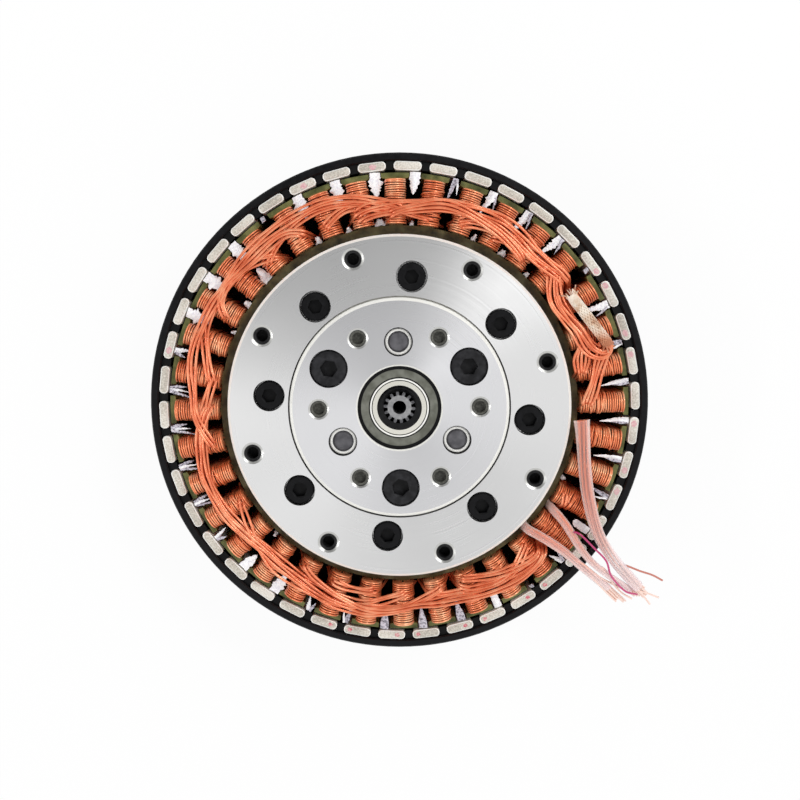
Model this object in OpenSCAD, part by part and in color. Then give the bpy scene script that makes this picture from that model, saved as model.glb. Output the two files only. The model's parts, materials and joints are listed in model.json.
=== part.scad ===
// Outer rotor gear motor: a wound stator round a planetary gearbox, with the magnet rotor outside.
// Millimetres. The axis is +Z, the output face looks up, and the rotor's flat back lies on Z = 0.

/* [Rotor] */
// Wall of the steel rotor ring
ring_wall = 1.5; // [1.2:0.1:2]
// Thickness of the bell's web
bell_t = 3; // [2.6:0.1:3.2]
// Height of the bell's rim below the rotor ring
bell_rim_h = 2; // [1.6:0.1:2.2]
// How far the rotor ring stands above the lamination stack
rim_above_stack = 0.5; // [0.3:0.1:1]
// Number of magnets
magnet_count = 42; // [42:1:42]
// Width of a magnet along the ring
magnet_w = 5.4; // [4.8:0.1:5.6]
// Thickness of a magnet
magnet_t = 1.75; // [1.6:0.05:1.8]
// Corner radius of a magnet
magnet_corner = 0.7; // [0.3:0.1:0.8]
// Glue between a magnet and the ring
glue_t = 0.1; // [0.05:0.05:0.2]
// Gap between the stator and the magnets
air_gap = 0.4; // [0.3:0.05:0.6]
// How far the magnets' ends lie below the rotor ring
magnet_recess = 0.2; // [0.1:0.1:0.4]
// How far the magnets reach below the lamination stack
magnet_below_stack = 1; // [0.5:0.1:1.5]
// Angle of the first magnet
magnet_angle = 2.33; // [0:0.01:8.5]
// Width of a window in the bell, along a radius
window_w = 7.6; // [6:0.2:8]
// Radius of the windows' middle line
window_r = 23; // [22:0.5:24]
// Number of windows
window_count = 8; // [6:1:8]
// Angle that a window's middle line spans
window_span = 22; // [16:1:24]

/* [Stator] */
// Length of the lamination stack
stack_l = 15; // [14:0.5:18]
// Number of slots
slot_count = 36; // [36:1:36]
// Width of a tooth
tooth_w = 2.6; // [2.2:0.1:3]
// Thickness of a tooth's tip
tip_t = 0.9; // [0.7:0.1:1]
// Depth of a slot, from the back iron to the tooth tips
slot_depth = 9.05; // [8.5:0.05:10]
// Width of the slot's mouth
slot_mouth_w = 2.3; // [1.6:0.1:2.5]
// Radial thickness of the back iron
yoke_t = 3.8; // [3.4:0.1:4]
// Angle of the first tooth
tooth_angle = 1.1; // [0:0.1:9.9]

/* [Winding] */
// Width of a coil across its tooth
coil_w = 4.1; // [3.6:0.1:4.3]
// Straight part of a coil beyond the stack, before it turns over
coil_straight = 1.4; // [1:0.1:1.6]
// Ridges drawn on a coil, each of two or three turns
coil_ridges = 9; // [5:1:11]
// Depth of the furrows between the ridges
ridge_d = 0.16; // [0.08:0.02:0.2]
// Gap between the coils and the bell
coil_clear = 1.75; // [1.2:0.05:2.5]
// Gap between a coil's ends and the iron on each side of it
coil_end_clear = 0.12; // [0.05:0.01:0.2]
// Thickness of a bundle of link wires
link_d = 1.4; // [1:0.1:1.5]
// How far the innermost bundle of link wires lies outside the coils' inner ends
link_inset = 1.5; // [1.2:0.1:1.8]
// Distance between the bundles of link wires
link_pitch = 1.65; // [1.55:0.05:1.75]
// How far a bundle wanders in and out
link_wander = 0.5; // [0:0.1:0.7]
// How far a bundle dips between two coils
link_dip = 0.3; // [0:0.05:0.4]
// Angle from the first tooth to the slot where the first bundle starts
link_from = 35; // [35:10:65]
// Angle between the slots where one bundle and the next start
link_stagger = 10; // [10:10:20]
// Angle from the first tooth to the slot where the bundles end
link_to = 305; // [275:10:305]
// Thickness of a slot wedge's paper
wedge_t = 0.25; // [0.2:0.05:0.3]
// Width of a slot wedge where it leaves the slot
wedge_w = 2; // [1.4:0.1:2.1]
// How far a slot wedge stands above the laminations
wedge_up = 2.4; // [1.5:0.1:2.6]
// How far a slot wedge leans inwards
wedge_lean = 3.2; // [2:0.1:3.6]
// Diameter of the sleeve on the star point
star_d = 2.3; // [2:0.1:2.4]
// Diameter of the longest lead
lead_a_d = 1.9; // [1.6:0.1:2]
// Diameter of the two shorter leads
lead_bc_d = 1.5; // [1.2:0.1:1.6]

/* [Gears] */
// Gear module
gear_m = 0.4; // [0.4:0.1:0.4]
// Teeth of the sun gear
sun_teeth = 14; // [14:1:14]
// Bore through the sun shaft
sun_bore_d = 2.6; // [2.4:0.1:2.8]
// Teeth of a planet gear
planet_teeth = 49; // [49:1:49]
// Thickness of the plate behind the planets
rear_t = 2; // [1.8:0.1:2.4]
// Gap between the planets and the posts of the rear carrier
post_clear = 0.6; // [0.4:0.1:1]
// How much thinner than half a pitch each tooth is, for backlash
backlash = 0.06; // [0.04:0.01:0.08]
// Diameter of the planet pins
pin_d = 4; // [3.6:0.1:4.4]
// Wall of a planet's bush
bush_wall = 1.2; // [1:0.1:1.5]
// Thickness of the thrust washers
washer_t = 0.3; // [0.2:0.05:0.4]
// Thickness of the ring that keeps the output bearing in
retainer_t = 0.8; // [0.6:0.1:1]
// How far that ring reaches out past the output bearing
retainer_edge = 1; // [0.8:0.1:1.2]
// Angle of the output flange at rest
carrier_angle = 0.9; // [0:0.1:2]

/* [Housing] */
// How far the front cover reaches over the laminations
cover_over = 1.9; // [1.5:0.1:2.2]
// Thickness of the front cover's flange
cover_t = 4.8; // [4.6:0.1:5.6]
// Wall of the housing barrel
barrel_wall = 3.2; // [2.8:0.1:3.6]
// Wall of the ring gear outside its screw holes
ring_gear_wall = 1.5; // [1.2:0.1:2]
// Thickness of the housing floor
floor_t = 2.4; // [2:0.1:2.8]
// Gap between the bell and the housing floor
floor_clear = 1; // [0.8:0.1:1.2]
// Wall between the bearing retainer's seat and the cover's screw holes
screw_wall = 0.4; // [0.3:0.1:0.8]
// Number of cover screws
cover_screw_count = 8; // [6:1:8]
// Angle of the first cover screw
cover_screw_angle = 39.7; // [35:0.1:44]
// Distance from the cover's edge to the middle of its fixing holes
fixing_edge = 3.4; // [3:0.1:3.6]
// Number of fixing holes
fixing_count = 8; // [6:1:8]
// Angle of the first fixing hole
fixing_angle = 17.3; // [15:0.1:19]
// Metal left under the fixing holes
fixing_floor = 0.9; // [0.8:0.1:1.4]

/* [Output] */
// How far the output flange's rim stands out over its bearing seat
output_rim = 2.5; // [2.2:0.1:2.7]
// How far the output flange stands proud of the cover
output_proud = 0.5; // [0.3:0.1:0.7]
// Bevel round the output flange
output_bevel = 0.6; // [0.3:0.1:0.8]
// Wall between the carrier screws and the bearing seat
neck_wall = 1.1; // [0.9:0.1:1.4]
// Number of tapped holes in the output flange
output_count = 6; // [6:1:6]
// Depth of the tapped holes in the output flange
output_depth = 6; // [4:0.5:7]
// Width of the recess over a planet pin's end
pin_recess_d = 5.5; // [5:0.1:6]
// Depth of the recess over a planet pin's end
pin_recess_h = 1.2; // [0.8:0.1:1.6]

/* [Bearings] */
// Bore of the output bearing
output_bearing_bore = 37; // [36.8:0.1:37.2]
// Radial thickness of the output bearing
output_bearing_t = 3.5; // [3.3:0.1:3.7]
// Width of the output bearing
output_bearing_w = 4; // [3.6:0.1:4.2]
// Thickness of the output bearing's races
output_race_t = 1.1; // [0.9:0.05:1.2]
// Diameter of the output bearing's balls
output_ball_d = 1.9; // [1.7:0.05:2]
// Balls in the output bearing
output_balls = 24; // [18:1:28]
// Bore of the rotor bearing
rotor_bearing_bore = 10; // [9.8:0.1:10.2]
// Radial thickness of the rotor bearing
rotor_bearing_t = 2.5; // [2.3:0.1:2.7]
// Width of the rotor bearing
rotor_bearing_w = 4; // [3.6:0.1:4.4]
// Thickness of the rotor bearing's races
rotor_race_t = 0.85; // [0.75:0.05:0.9]
// Diameter of the rotor bearing's balls
rotor_ball_d = 1.24; // [1.1:0.02:1.3]
// Balls in the rotor bearing
rotor_balls = 12; // [8:1:13]
// Bore of the centre bearing
centre_bearing_bore = 8; // [7.8:0.1:8.2]
// Radial thickness of the centre bearing
centre_bearing_t = 4; // [3.8:0.1:4.2]
// Width of the centre bearing
centre_bearing_w = 5; // [4.6:0.1:5.2]
// Thickness of the centre bearing's races
centre_race_t = 1.15; // [1:0.05:1.2]
// Diameter of the centre bearing's balls
centre_ball_d = 2.2; // [2:0.05:2.4]
// Balls in the centre bearing
centre_balls = 9; // [7:1:11]
// Thickness of the cages of the output and centre bearings
cage_t = 0.7; // [0.6:0.05:0.8]
// Thickness of the rotor bearing's cage
slim_cage_t = 0.4; // [0.3:0.05:0.5]
// How far a cage stands past its balls
cage_edge = 0.4; // [0.3:0.05:0.5]
// Depth of play between a ball and its groove
groove_clear = 0.05; // [0.03:0.01:0.06]
// How far the centre bearing lies below the output face
centre_recess = 0.6; // [0.4:0.1:1]

/* [Screws] */
// Core diameter of an M3 thread
m3_core = 2.5; // [2.4:0.05:2.6]
// Shank diameter of an M3 screw
m3_d = 3; // [3:0.1:3]
// Head diameter of an M3 screw
m3_head_d = 5.5; // [5.3:0.1:5.7]
// Head height of an M3 screw
m3_head_h = 3; // [2.8:0.1:3.2]
// Length of the cover screws' thread
m3_thread_l = 6; // [5:0.5:7]
// Width of an M3 screw's hex socket
m3_key_w = 2.5; // [2.4:0.1:2.6]
// Counterbore for an M3 head
m3_sink_d = 6; // [5.9:0.1:6.2]
// Core diameter of an M4 thread
m4_core = 3.3; // [3.2:0.05:3.4]
// Shank diameter of an M4 screw
m4_d = 4; // [3.9:0.1:4.1]
// Head diameter of an M4 screw
m4_head_d = 7; // [6.8:0.1:7]
// Head height of an M4 screw
m4_head_h = 4; // [3.8:0.1:4]
// Length of the carrier screws' thread
m4_thread_l = 6.5; // [5:0.5:7]
// Width of an M4 screw's hex socket
m4_key_w = 3; // [2.9:0.1:3.1]
// Counterbore for an M4 head
m4_sink_d = 7.3; // [7.2:0.05:7.4]
// How far a screw head lies below its face
head_sunk = 0.2; // [0.1:0.1:0.3]
// Number of screws that hold the bell to the sun shaft
bell_screw_count = 6; // [4:1:6]
// Head diameter of a bell screw
bell_head_d = 4.4; // [4.2:0.1:4.5]
// Shank diameter of a bell screw
bell_shank_d = 2.5; // [2.3:0.1:2.6]
// Core diameter of a bell screw's thread
bell_core_d = 2.04; // [1.9:0.02:2.1]
// Length of a bell screw
bell_screw_l = 2.6; // [2.4:0.1:2.8]
// Width of a bell screw's hex socket
bell_key_w = 1.5; // [1.4:0.1:1.6]
// Distance from the bell screws' heads to the sun shaft's journal
bell_screw_inset = 0.5; // [0.4:0.1:0.8]
// Edge of the sun shaft's flange outside the bell screws' heads
sun_flange_edge = 0.7; // [0.5:0.1:1]

/* [Hidden] */
$fn = 48;

// Clearances: between pieces that seat in each other, that turn in each other, and that pass by
seat_gap = 0.02;
turn_gap = 0.03;
play = 0.05;
pass_gap = 0.3;

// Heights, from the back of the bell upwards; the planets fill the room that the stack leaves
coil_low = bell_t + coil_clear;
stack_z0 = coil_low + coil_w / 2 + coil_straight;
stack_z1 = stack_z0 + stack_l;
rim_z = stack_z1 + rim_above_stack;
coil_top = stack_z1 + coil_straight + coil_w / 2;
cover_z1 = stack_z1 + cover_t;
output_z1 = cover_z1 + output_proud;
floor_z0 = bell_t + floor_clear;
floor_z1 = floor_z0 + floor_t;
boss_lip = 0.8;
boss_z1 = floor_z0 + rotor_bearing_w + boss_lip;
rear_z0 = boss_z1 + pass_gap + 0.1;
rear_z1 = rear_z0 + rear_t;
ring_z0 = rear_z1 - 0.2;
bearing_z1 = stack_z1 + 0.2;
bearing_z0 = bearing_z1 - output_bearing_w;
ring_z1 = bearing_z0 - retainer_t;
flange_z0 = ring_z1 - pass_gap;
planet_z0 = rear_z1 + washer_t + play;
planet_z1 = flange_z0 - washer_t - play;
planet_w = planet_z1 - planet_z0;
head_z0 = bearing_z1 + 0.2;
centre_z1 = output_z1 - centre_recess;
centre_z0 = centre_z1 - centre_bearing_w;

// Gears: pitch radii, and the angles at which they are in mesh
pressure_angle = 20;
ring_teeth = sun_teeth + 2 * planet_teeth;
planet_count = 3;
sun_r = gear_m * sun_teeth / 2;
planet_r = gear_m * planet_teeth / 2;
ring_r = gear_m * ring_teeth / 2;
centre_r = sun_r + planet_r;
tooth_out = 0.9 * gear_m;
tooth_in = 1.25 * gear_m;
sun_tip_r = sun_r + gear_m;
gear_ratio = 1 + ring_teeth / sun_teeth;
function planet_at(i) = 90 + 120 * i;
function planet_turn(i) = planet_at(i) + 180 - sun_teeth / planet_teeth * (90 - planet_at(i))
    + 180 / planet_teeth - ring_teeth / planet_teeth * carrier_angle;

// Radii, from the axis outwards
ring_root_r = ring_r + tooth_in;
output_bearing_od = output_bearing_bore + 2 * output_bearing_t;
rotor_bearing_od = rotor_bearing_bore + 2 * rotor_bearing_t;
centre_bearing_od = centre_bearing_bore + 2 * centre_bearing_t;
bell_screw_r = rotor_bearing_bore / 2 + bell_screw_inset + bell_head_d / 2;
sun_flange_r = bell_screw_r + bell_head_d / 2 + sun_flange_edge;
neck_r = output_bearing_bore / 2 - seat_gap;
slim_in_r = output_bearing_bore / 2 + output_race_t;
slim_out_r = output_bearing_od / 2 - output_race_t;
output_r = output_bearing_bore / 2 + output_rim;
output_hole_r = output_bearing_bore / 2 - neck_wall - m4_d / 2;
retainer_r = output_bearing_od / 2 + retainer_edge;
m3_hole_r = m3_d / 2 + 0.1;
cover_screw_r = max(retainer_r, ring_root_r) + screw_wall + m3_hole_r;
barrel_in_r = cover_screw_r + m3_core / 2 + seat_gap + ring_gear_wall;
barrel_out_r = barrel_in_r + barrel_wall;
stator_bore_r = barrel_out_r + seat_gap;
cover_r = stator_bore_r + cover_over;
fixing_r = cover_r - fixing_edge;
yoke_r = stator_bore_r + yoke_t;
tip_in_r = yoke_r + slot_depth;
stator_r = tip_in_r + tip_t;
tip_slope = 0.35;
coil_r0 = yoke_r + coil_end_clear;
coil_r1 = tip_in_r - tip_slope - coil_end_clear;
link_r = coil_r0 + link_inset;
magnet_out_r = stator_r + air_gap + magnet_t;
magnet_mid_r = magnet_out_r - magnet_t / 2;
ring_in_r = magnet_out_r + glue_t;
rotor_r = ring_in_r + ring_wall;

// A tooth's half angle at radius r, on an involute from base radius rb
function roll(a) = tan(a) * 180 / PI - a;
function half_tooth(r, rp, teeth, thin) =
    90 / teeth - thin / (2 * rp) * 180 / PI + roll(pressure_angle)
    - (r > rp * cos(pressure_angle) ? roll(acos(rp * cos(pressure_angle) / r)) : 0);

// Outline of a gear whose flanks pass through the radii in the list, with a slimmer foot below the base
function gear_outline(teeth, radii, thin, foot = 0.8) =
    let (rp = gear_m * teeth / 2, n = len(radii))
    [for (k = [0:teeth - 1], j = [0:2 * n - 1])
        let (r = radii[j < n ? j : 2 * n - 1 - j],
             h = half_tooth(r, rp, teeth, thin) * (r < rp * cos(pressure_angle) ? foot : 1),
             a = 360 * k / teeth + (j < n ? -h : h))
        [r * cos(a), r * sin(a)]];

// A tube of radius r along a path, as one solid; up is the direction that its rings keep
function unit(v) = v / norm(v);
function path_way(path, i) =
    unit(path[min(i + 1, len(path) - 1)] - path[max(i - 1, 0)]);
module tube(path, r, ups, sides = 8) {
    n = len(path);
    points = [for (i = [0:n - 1])
        let (way = path_way(path, i), across = unit(cross(way, ups[i])), over = cross(across, way))
        for (k = [0:sides - 1])
            path[i] + r * (cos(360 * k / sides) * across + sin(360 * k / sides) * over)];
    walls = [for (i = [0:n - 2], k = [0:sides - 1])
        let (a = i * sides + k, b = i * sides + (k + 1) % sides)
        each [[a, a + sides, b], [b, a + sides, b + sides]]];
    start = [[for (k = [0:sides - 1]) k]];
    end = [[for (k = [sides - 1:-1:0]) (n - 1) * sides + k]];
    polyhedron(points = points, faces = concat(walls, start, end), convexity = 6);
}

// A flat ring, from radius a to radius b and from height z0 to height z1
module ring(a, b, z0, z1) {
    translate([0, 0, z0])
        linear_extrude(z1 - z0)
            difference() {
                circle(b);
                circle(a);
            }
}

// Copies round the axis, at radius r
module around(count, r, start = 0) {
    for (k = [0:count - 1])
        rotate([0, 0, start + 360 * k / count])
            translate([r, 0, 0])
                children();
}

// A socket head cap screw, with its head resting at Z = 0 and its shank below
module cap_screw(head_d, head_h, shank_d, plain_l, core_d, thread_l, key_w) {
    edge = head_d * 0.06;
    difference() {
        rotate_extrude()
            polygon([
                [0, head_h], [head_d / 2 - edge, head_h], [head_d / 2, head_h - edge], [head_d / 2, 0],
                [shank_d / 2, 0], [shank_d / 2, -plain_l], [core_d / 2, -plain_l],
                [core_d / 2, -plain_l - thread_l + 0.4], [core_d / 2 - 0.4, -plain_l - thread_l],
                [0, -plain_l - thread_l]
            ]);
        translate([0, 0, head_h * 0.45])
            cylinder(h = head_h, r = key_w / 2 / cos(30), $fn = 6);
    }
}

// The cutter for a tapped hole that opens upwards at Z = 0, with a countersunk mouth
module tapped_hole(core_d, depth, mouth_d) {
    mouth_h = 0.35;
    rotate_extrude()
        polygon([
            [0, 1], [mouth_d / 2, 1], [mouth_d / 2, 0], [core_d / 2, -mouth_h],
            [core_d / 2, -depth], [0, -depth - core_d * 0.2]
        ]);
}

// A bearing race: a ring with a groove for the balls, cut at radius ball_r_at
module race(a, b, z0, z1, groove_r, pitch_r) {
    difference() {
        ring(a, b, z0, z1);
        translate([0, 0, (z0 + z1) / 2])
            rotate_extrude()
                translate([pitch_r, 0])
                    circle(groove_r);
    }
}

// A bearing's balls, and the cage that keeps them apart
module balls(count, ball_r, pitch_r, z) {
    around(count, pitch_r)
        translate([0, 0, z])
            sphere(ball_r);
}
module cage(count, ball_r, pitch_r, z, wall) {
    high = 2 * (ball_r + cage_edge);
    difference() {
        ring(pitch_r - wall / 2, pitch_r + wall / 2, z - high / 2, z + high / 2);
        around(count, pitch_r)
            translate([0, 0, z])
                rotate([0, 90, 0])
                    cylinder(h = wall * 4, r = ball_r + turn_gap * 2, center = true);
    }
}

// Rotor

sun_flange_t = 1.6;
sun_sunk = 0.5;
bell_hub_r = sun_flange_r + 3.4;
bell_hub_z1 = floor_z0 - 0.4;
module rotor_bell() {
    sink_t = sun_flange_t + sun_sunk;
    edge = 0.8;
    land_z1 = bell_t + 1.4;
    land_w = 1.5;
    color("dimgray")
        difference() {
            rotate_extrude()
                polygon([
                    [rotor_bearing_bore / 2 + seat_gap, 0], [rotor_r - edge, 0], [rotor_r, edge],
                    [rotor_r, bell_rim_h], [ring_in_r - seat_gap, bell_rim_h],
                    [ring_in_r - seat_gap, land_z1], [ring_in_r - land_w, land_z1],
                    [ring_in_r - land_w - 0.4, bell_t], [bell_hub_r + 0.6, bell_t], [bell_hub_r, bell_hub_z1],
                    [rotor_bearing_bore / 2 + 1, bell_hub_z1], [rotor_bearing_bore / 2 + 1, floor_z0],
                    [rotor_bearing_bore / 2 + seat_gap, floor_z0]
                ]);
            translate([0, 0, -1])
                cylinder(h = sink_t + 1, r = sun_flange_r + 0.1);
            for (k = [0:window_count - 1])
                rotate([0, 0, 360 * (k + 0.5) / window_count])
                    bell_window();
            around(bell_screw_count, bell_screw_r)
                cylinder(h = sun_sunk + bell_screw_l + 0.1, r = bell_core_d / 2 + seat_gap);
        }
}

// A window of the bell: a stretch of ring with round ends
module bell_window() {
    rotate([0, 0, -window_span / 2])
        translate([0, 0, -1])
            rotate_extrude(angle = window_span)
                translate([window_r - window_w / 2, 0])
                    square([window_w, bell_t + 2]);
    for (side = [-1, 1])
        rotate([0, 0, side * window_span / 2])
            translate([window_r, 0, -1])
                cylinder(h = bell_t + 2, r = window_w / 2);
}

module rotor_ring() {
    edge = 0.25;
    color([0.1, 0.1, 0.11])
        rotate_extrude()
            polygon([
                [ring_in_r, bell_rim_h], [rotor_r, bell_rim_h], [rotor_r, rim_z - edge],
                [rotor_r - edge, rim_z], [ring_in_r + edge, rim_z], [ring_in_r, rim_z - edge]
            ]);
}

magnet_z0 = stack_z0 - magnet_below_stack;
magnet_z1 = rim_z - magnet_recess;
module magnet_shape(grow = 0) {
    t = magnet_t / 2 + grow - magnet_corner;
    w = magnet_w / 2 + grow - magnet_corner;
    square([2 * t, 2 * (w + magnet_corner)], center = true);
    square([2 * (t + magnet_corner), 2 * w], center = true);
    for (x = [-1, 1], y = [-1, 1])
        translate([x * t, y * w])
            circle(magnet_corner);
}

module magnets() {
    color([0.82, 0.8, 0.76])
        translate([0, 0, magnet_z0])
            around(magnet_count, magnet_mid_r, magnet_angle)
                linear_extrude(magnet_z1 - magnet_z0)
                    magnet_shape();
}

// The black strip that keeps the magnets apart
module magnet_holder() {
    low = magnet_z0 - 1;
    color([0.07, 0.07, 0.08])
        difference() {
            ring(magnet_mid_r - magnet_t / 2 + 0.15, ring_in_r - seat_gap, low, magnet_z1 - 0.5);
            translate([0, 0, magnet_z0])
                around(magnet_count, magnet_mid_r, magnet_angle)
                    linear_extrude(magnet_z1)
                        square([magnet_t + 1, magnet_w + 2 * seat_gap], center = true);
        }
}

// The sun gear is cut along the whole shaft, from the bearing journal to the output face
sun_z1 = output_z1 - 1.2;
module sun_shaft() {
    journal_r = rotor_bearing_bore / 2;
    gear_z0 = floor_z0 + rotor_bearing_w;
    radii = [sun_r - tooth_in, sun_r * cos(pressure_angle), sun_r, sun_r + gear_m / 2, sun_tip_r];
    color([0.55, 0.55, 0.57])
        difference() {
            union() {
                translate([0, 0, sun_sunk])
                    cylinder(h = sun_flange_t, r = sun_flange_r);
                translate([0, 0, sun_sunk])
                    cylinder(h = gear_z0 - sun_sunk, r = journal_r);
                translate([0, 0, gear_z0 - 0.5])
                    linear_extrude(sun_z1 - gear_z0 + 0.5)
                        rotate([0, 0, 90 + gear_ratio * carrier_angle])
                            polygon(gear_outline(sun_teeth, radii, backlash));
            }
            translate([0, 0, -1])
                cylinder(h = sun_z1 + 2, r = sun_bore_d / 2);
            around(bell_screw_count, bell_screw_r)
                translate([0, 0, sun_sunk])
                    bell_screw_sink();
        }
}

// The countersunk hole for a bell screw, and the screw itself, both seen from the back
module bell_screw_sink() {
    rotate_extrude()
        polygon([
            [0, -1], [bell_head_d / 2 + seat_gap, -1], [bell_head_d / 2 + seat_gap, bell_cone_z0],
            [bell_shank_d / 2 + play, bell_cone_z1], [bell_shank_d / 2 + play, sun_flange_t + 1],
            [0, sun_flange_t + 1]
        ]);
}
bell_cone_z0 = 0.2;
bell_cone_z1 = bell_cone_z0 + (bell_head_d - bell_shank_d) / 2;
module bell_screw() {
    face = 0.1;
    difference() {
        rotate_extrude()
            polygon([
                [0, face], [bell_head_d / 2, face], [bell_head_d / 2, bell_cone_z0],
                [bell_shank_d / 2, bell_cone_z1], [bell_shank_d / 2, sun_flange_t],
                [bell_core_d / 2, sun_flange_t], [bell_core_d / 2, bell_screw_l], [0, bell_screw_l]
            ]);
        translate([0, 0, -1])
            cylinder(h = 2, r = bell_key_w / 2 / cos(30), $fn = 6);
    }
}
module bell_screws() {
    color([0.12, 0.12, 0.13])
        translate([0, 0, sun_sunk])
            around(bell_screw_count, bell_screw_r)
                bell_screw();
}

module support_sleeve() {
    color([0.1, 0.1, 0.1])
        ring(sun_tip_r + seat_gap, centre_bearing_bore / 2 - seat_gap, centre_z0 - 0.4, centre_z1 - 0.9);
}

// Stator

// A slot between two teeth, from the back iron to its mouth between the tooth tips
module slot_shape() {
    step = 360 / slot_count;
    near = asin(tooth_w / 2 / yoke_r);
    far_r = tip_in_r - tip_slope;
    far = asin(tooth_w / 2 / far_r);
    mouth = asin(slot_mouth_w / 2 / stator_r);
    half = [
        [yoke_r, 0], [yoke_r, step / 2 - near], [far_r, step / 2 - far], [tip_in_r, mouth],
        [stator_r + 1, mouth]
    ];
    polygon([
        for (p = half) [p[0] * cos(p[1]), p[0] * sin(p[1])],
        for (k = [len(half) - 1:-1:1]) [half[k][0] * cos(-half[k][1]), half[k][0] * sin(-half[k][1])]
    ]);
}

module stator_core() {
    color([0.3, 0.31, 0.22])
        translate([0, 0, stack_z0])
            linear_extrude(stack_l)
                difference() {
                    circle(stator_r);
                    circle(stator_bore_r);
                    for (k = [0:slot_count - 1])
                        rotate([0, 0, tooth_angle + 360 * (k + 0.5) / slot_count])
                            slot_shape();
                }
}

// Half of a coil's outline: its radius along the tooth against its half width, with a ridge for each turn
function coil_edge(half_w) =
    let (step = (coil_r1 - coil_r0) / coil_ridges)
    [for (k = [0:2 * coil_ridges])
        [coil_r0 + k * step / 2, half_w - (k % 2 == 0 ? ridge_d : 0)]];

module coil_turn_over() {
    edge = coil_edge(coil_w / 2);
    rotate([0, 90, 0])
        rotate([0, 0, 90])
            rotate_extrude(angle = 180)
                polygon(concat([[0, coil_r0]], [for (p = edge) [p[1], p[0]]], [[0, coil_r1]]));
}

module coil() {
    edge = coil_edge(coil_w / 2);
    leg_l = stack_l + 2 * coil_straight;
    difference() {
        translate([0, 0, stack_z0 - coil_straight]) {
            linear_extrude(leg_l)
                polygon(concat(edge, [for (k = [len(edge) - 1:-1:0]) [edge[k][0], -edge[k][1]]]));
            translate([0, 0, leg_l])
                coil_turn_over();
            mirror([0, 0, 1])
                coil_turn_over();
        }
        translate([coil_r0 - 1, -tooth_w / 2 - seat_gap, stack_z0])
            cube([coil_r1 - coil_r0 + 2, tooth_w + 2 * seat_gap, stack_l]);
    }
}

// The coils of one phase stand on every third tooth
module phase_coils(first) {
    color([0.86, 0.45, 0.27])
        for (k = [first:3:slot_count - 1])
            rotate([0, 0, tooth_angle + 360 * k / slot_count])
                coil();
}
module coils_a() { phase_coils(0); }
module coils_b() { phase_coils(1); }
module coils_c() { phase_coils(2); }

// A paper wedge stands in the slot's mouth, and its pointed end leans in between the coils
module slot_wedge() {
    foot_r = tip_in_r - 0.1;
    in_slot = 3;
    top = wedge_up;
    intersection() {
        rotate([90, 0, 0])
            linear_extrude(2 * wedge_w, center = true)
                polygon([
                    [foot_r, -in_slot], [foot_r, 0.4], [foot_r - wedge_lean, top],
                    [foot_r - wedge_lean - wedge_t, top - wedge_t], [foot_r - wedge_t * 2, 0],
                    [foot_r - wedge_t, -in_slot]
                ]);
        translate([0, 0, -in_slot - 1])
            linear_extrude(in_slot + top + 2)
                polygon([
                    [foot_r + 1, -wedge_w / 2], [foot_r + 1, wedge_w / 2], [foot_r - 1, wedge_w / 2 + 0.1],
                    [foot_r - wedge_lean - wedge_t, 0.2], [foot_r - wedge_lean - wedge_t, -0.2],
                    [foot_r - 1, -wedge_w / 2 - 0.1]
                ]);
    }
}
module slot_wedges() {
    color([0.92, 0.92, 0.95])
        for (k = [0:slot_count - 1])
            rotate([0, 0, tooth_angle + 360 * (k + 0.5) / slot_count])
                translate([0, 0, stack_z1])
                    slot_wedge();
}

// A bundle of link wires runs over the coils, from one slot to another, and dives into a slot at each end
link_z = coil_top + link_d / 2 + 0.02;
function link_point(a, r, z) = [r * cos(a), r * sin(a), z];
function link_wave(a, i) = link_r + i * link_pitch + link_wander * sin(4 * a);
function link_rise(a) = link_z - link_dip * (1 - cos(slot_count * (a - tooth_angle))) / 2;
module phase_link(i) {
    from = link_from + i * link_stagger;
    to = link_to;
    steps = slot_count * 2 * (to - from) / 360;
    low = stack_z1 + 0.8;
    end_in = 0.8;
    along = [for (k = [1:steps - 1])
        let (a = tooth_angle + from + (to - from) * k / steps)
        link_point(a, link_wave(a, i), link_rise(a))];
    a0 = tooth_angle + from;
    a1 = tooth_angle + to;
    path = concat(
        [link_point(a0, link_wave(a0, i) - end_in, low), link_point(a0 + 0.3, link_wave(a0, i), link_z - 1)],
        along,
        [link_point(a1 - 0.3, link_wave(a1, i), link_z - 1), link_point(a1, link_wave(a1, i) - end_in, low)]);
    color([0.84, 0.43, 0.25])
        tube(path, link_d / 2, [for (p = path) [p[0], p[1], 0]]);
}
module phase_link_a() { phase_link(0); }
module phase_link_b() { phase_link(1); }
module phase_link_c() { phase_link(2); }

// Where the three phases join: a short sleeve that lies over the coils
star_z = coil_top + star_d / 2 + 0.1;
star_path = [
    link_point(31.6, coil_r0 + 4, star_z), link_point(28.8, coil_r0 + 4.3, star_z + 0.3),
    link_point(23.6, coil_r0 + 5, star_z + 0.4), link_point(18.8, coil_r0 + 6.1, star_z + 0.3),
    link_point(16.7, coil_r0 + 6.6, star_z)
];
module star_point_sleeve() {
    color([0.93, 0.88, 0.84])
        tube(star_path, star_d / 2, [for (p = star_path) [0, 0, 1]], 10);
}

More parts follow.
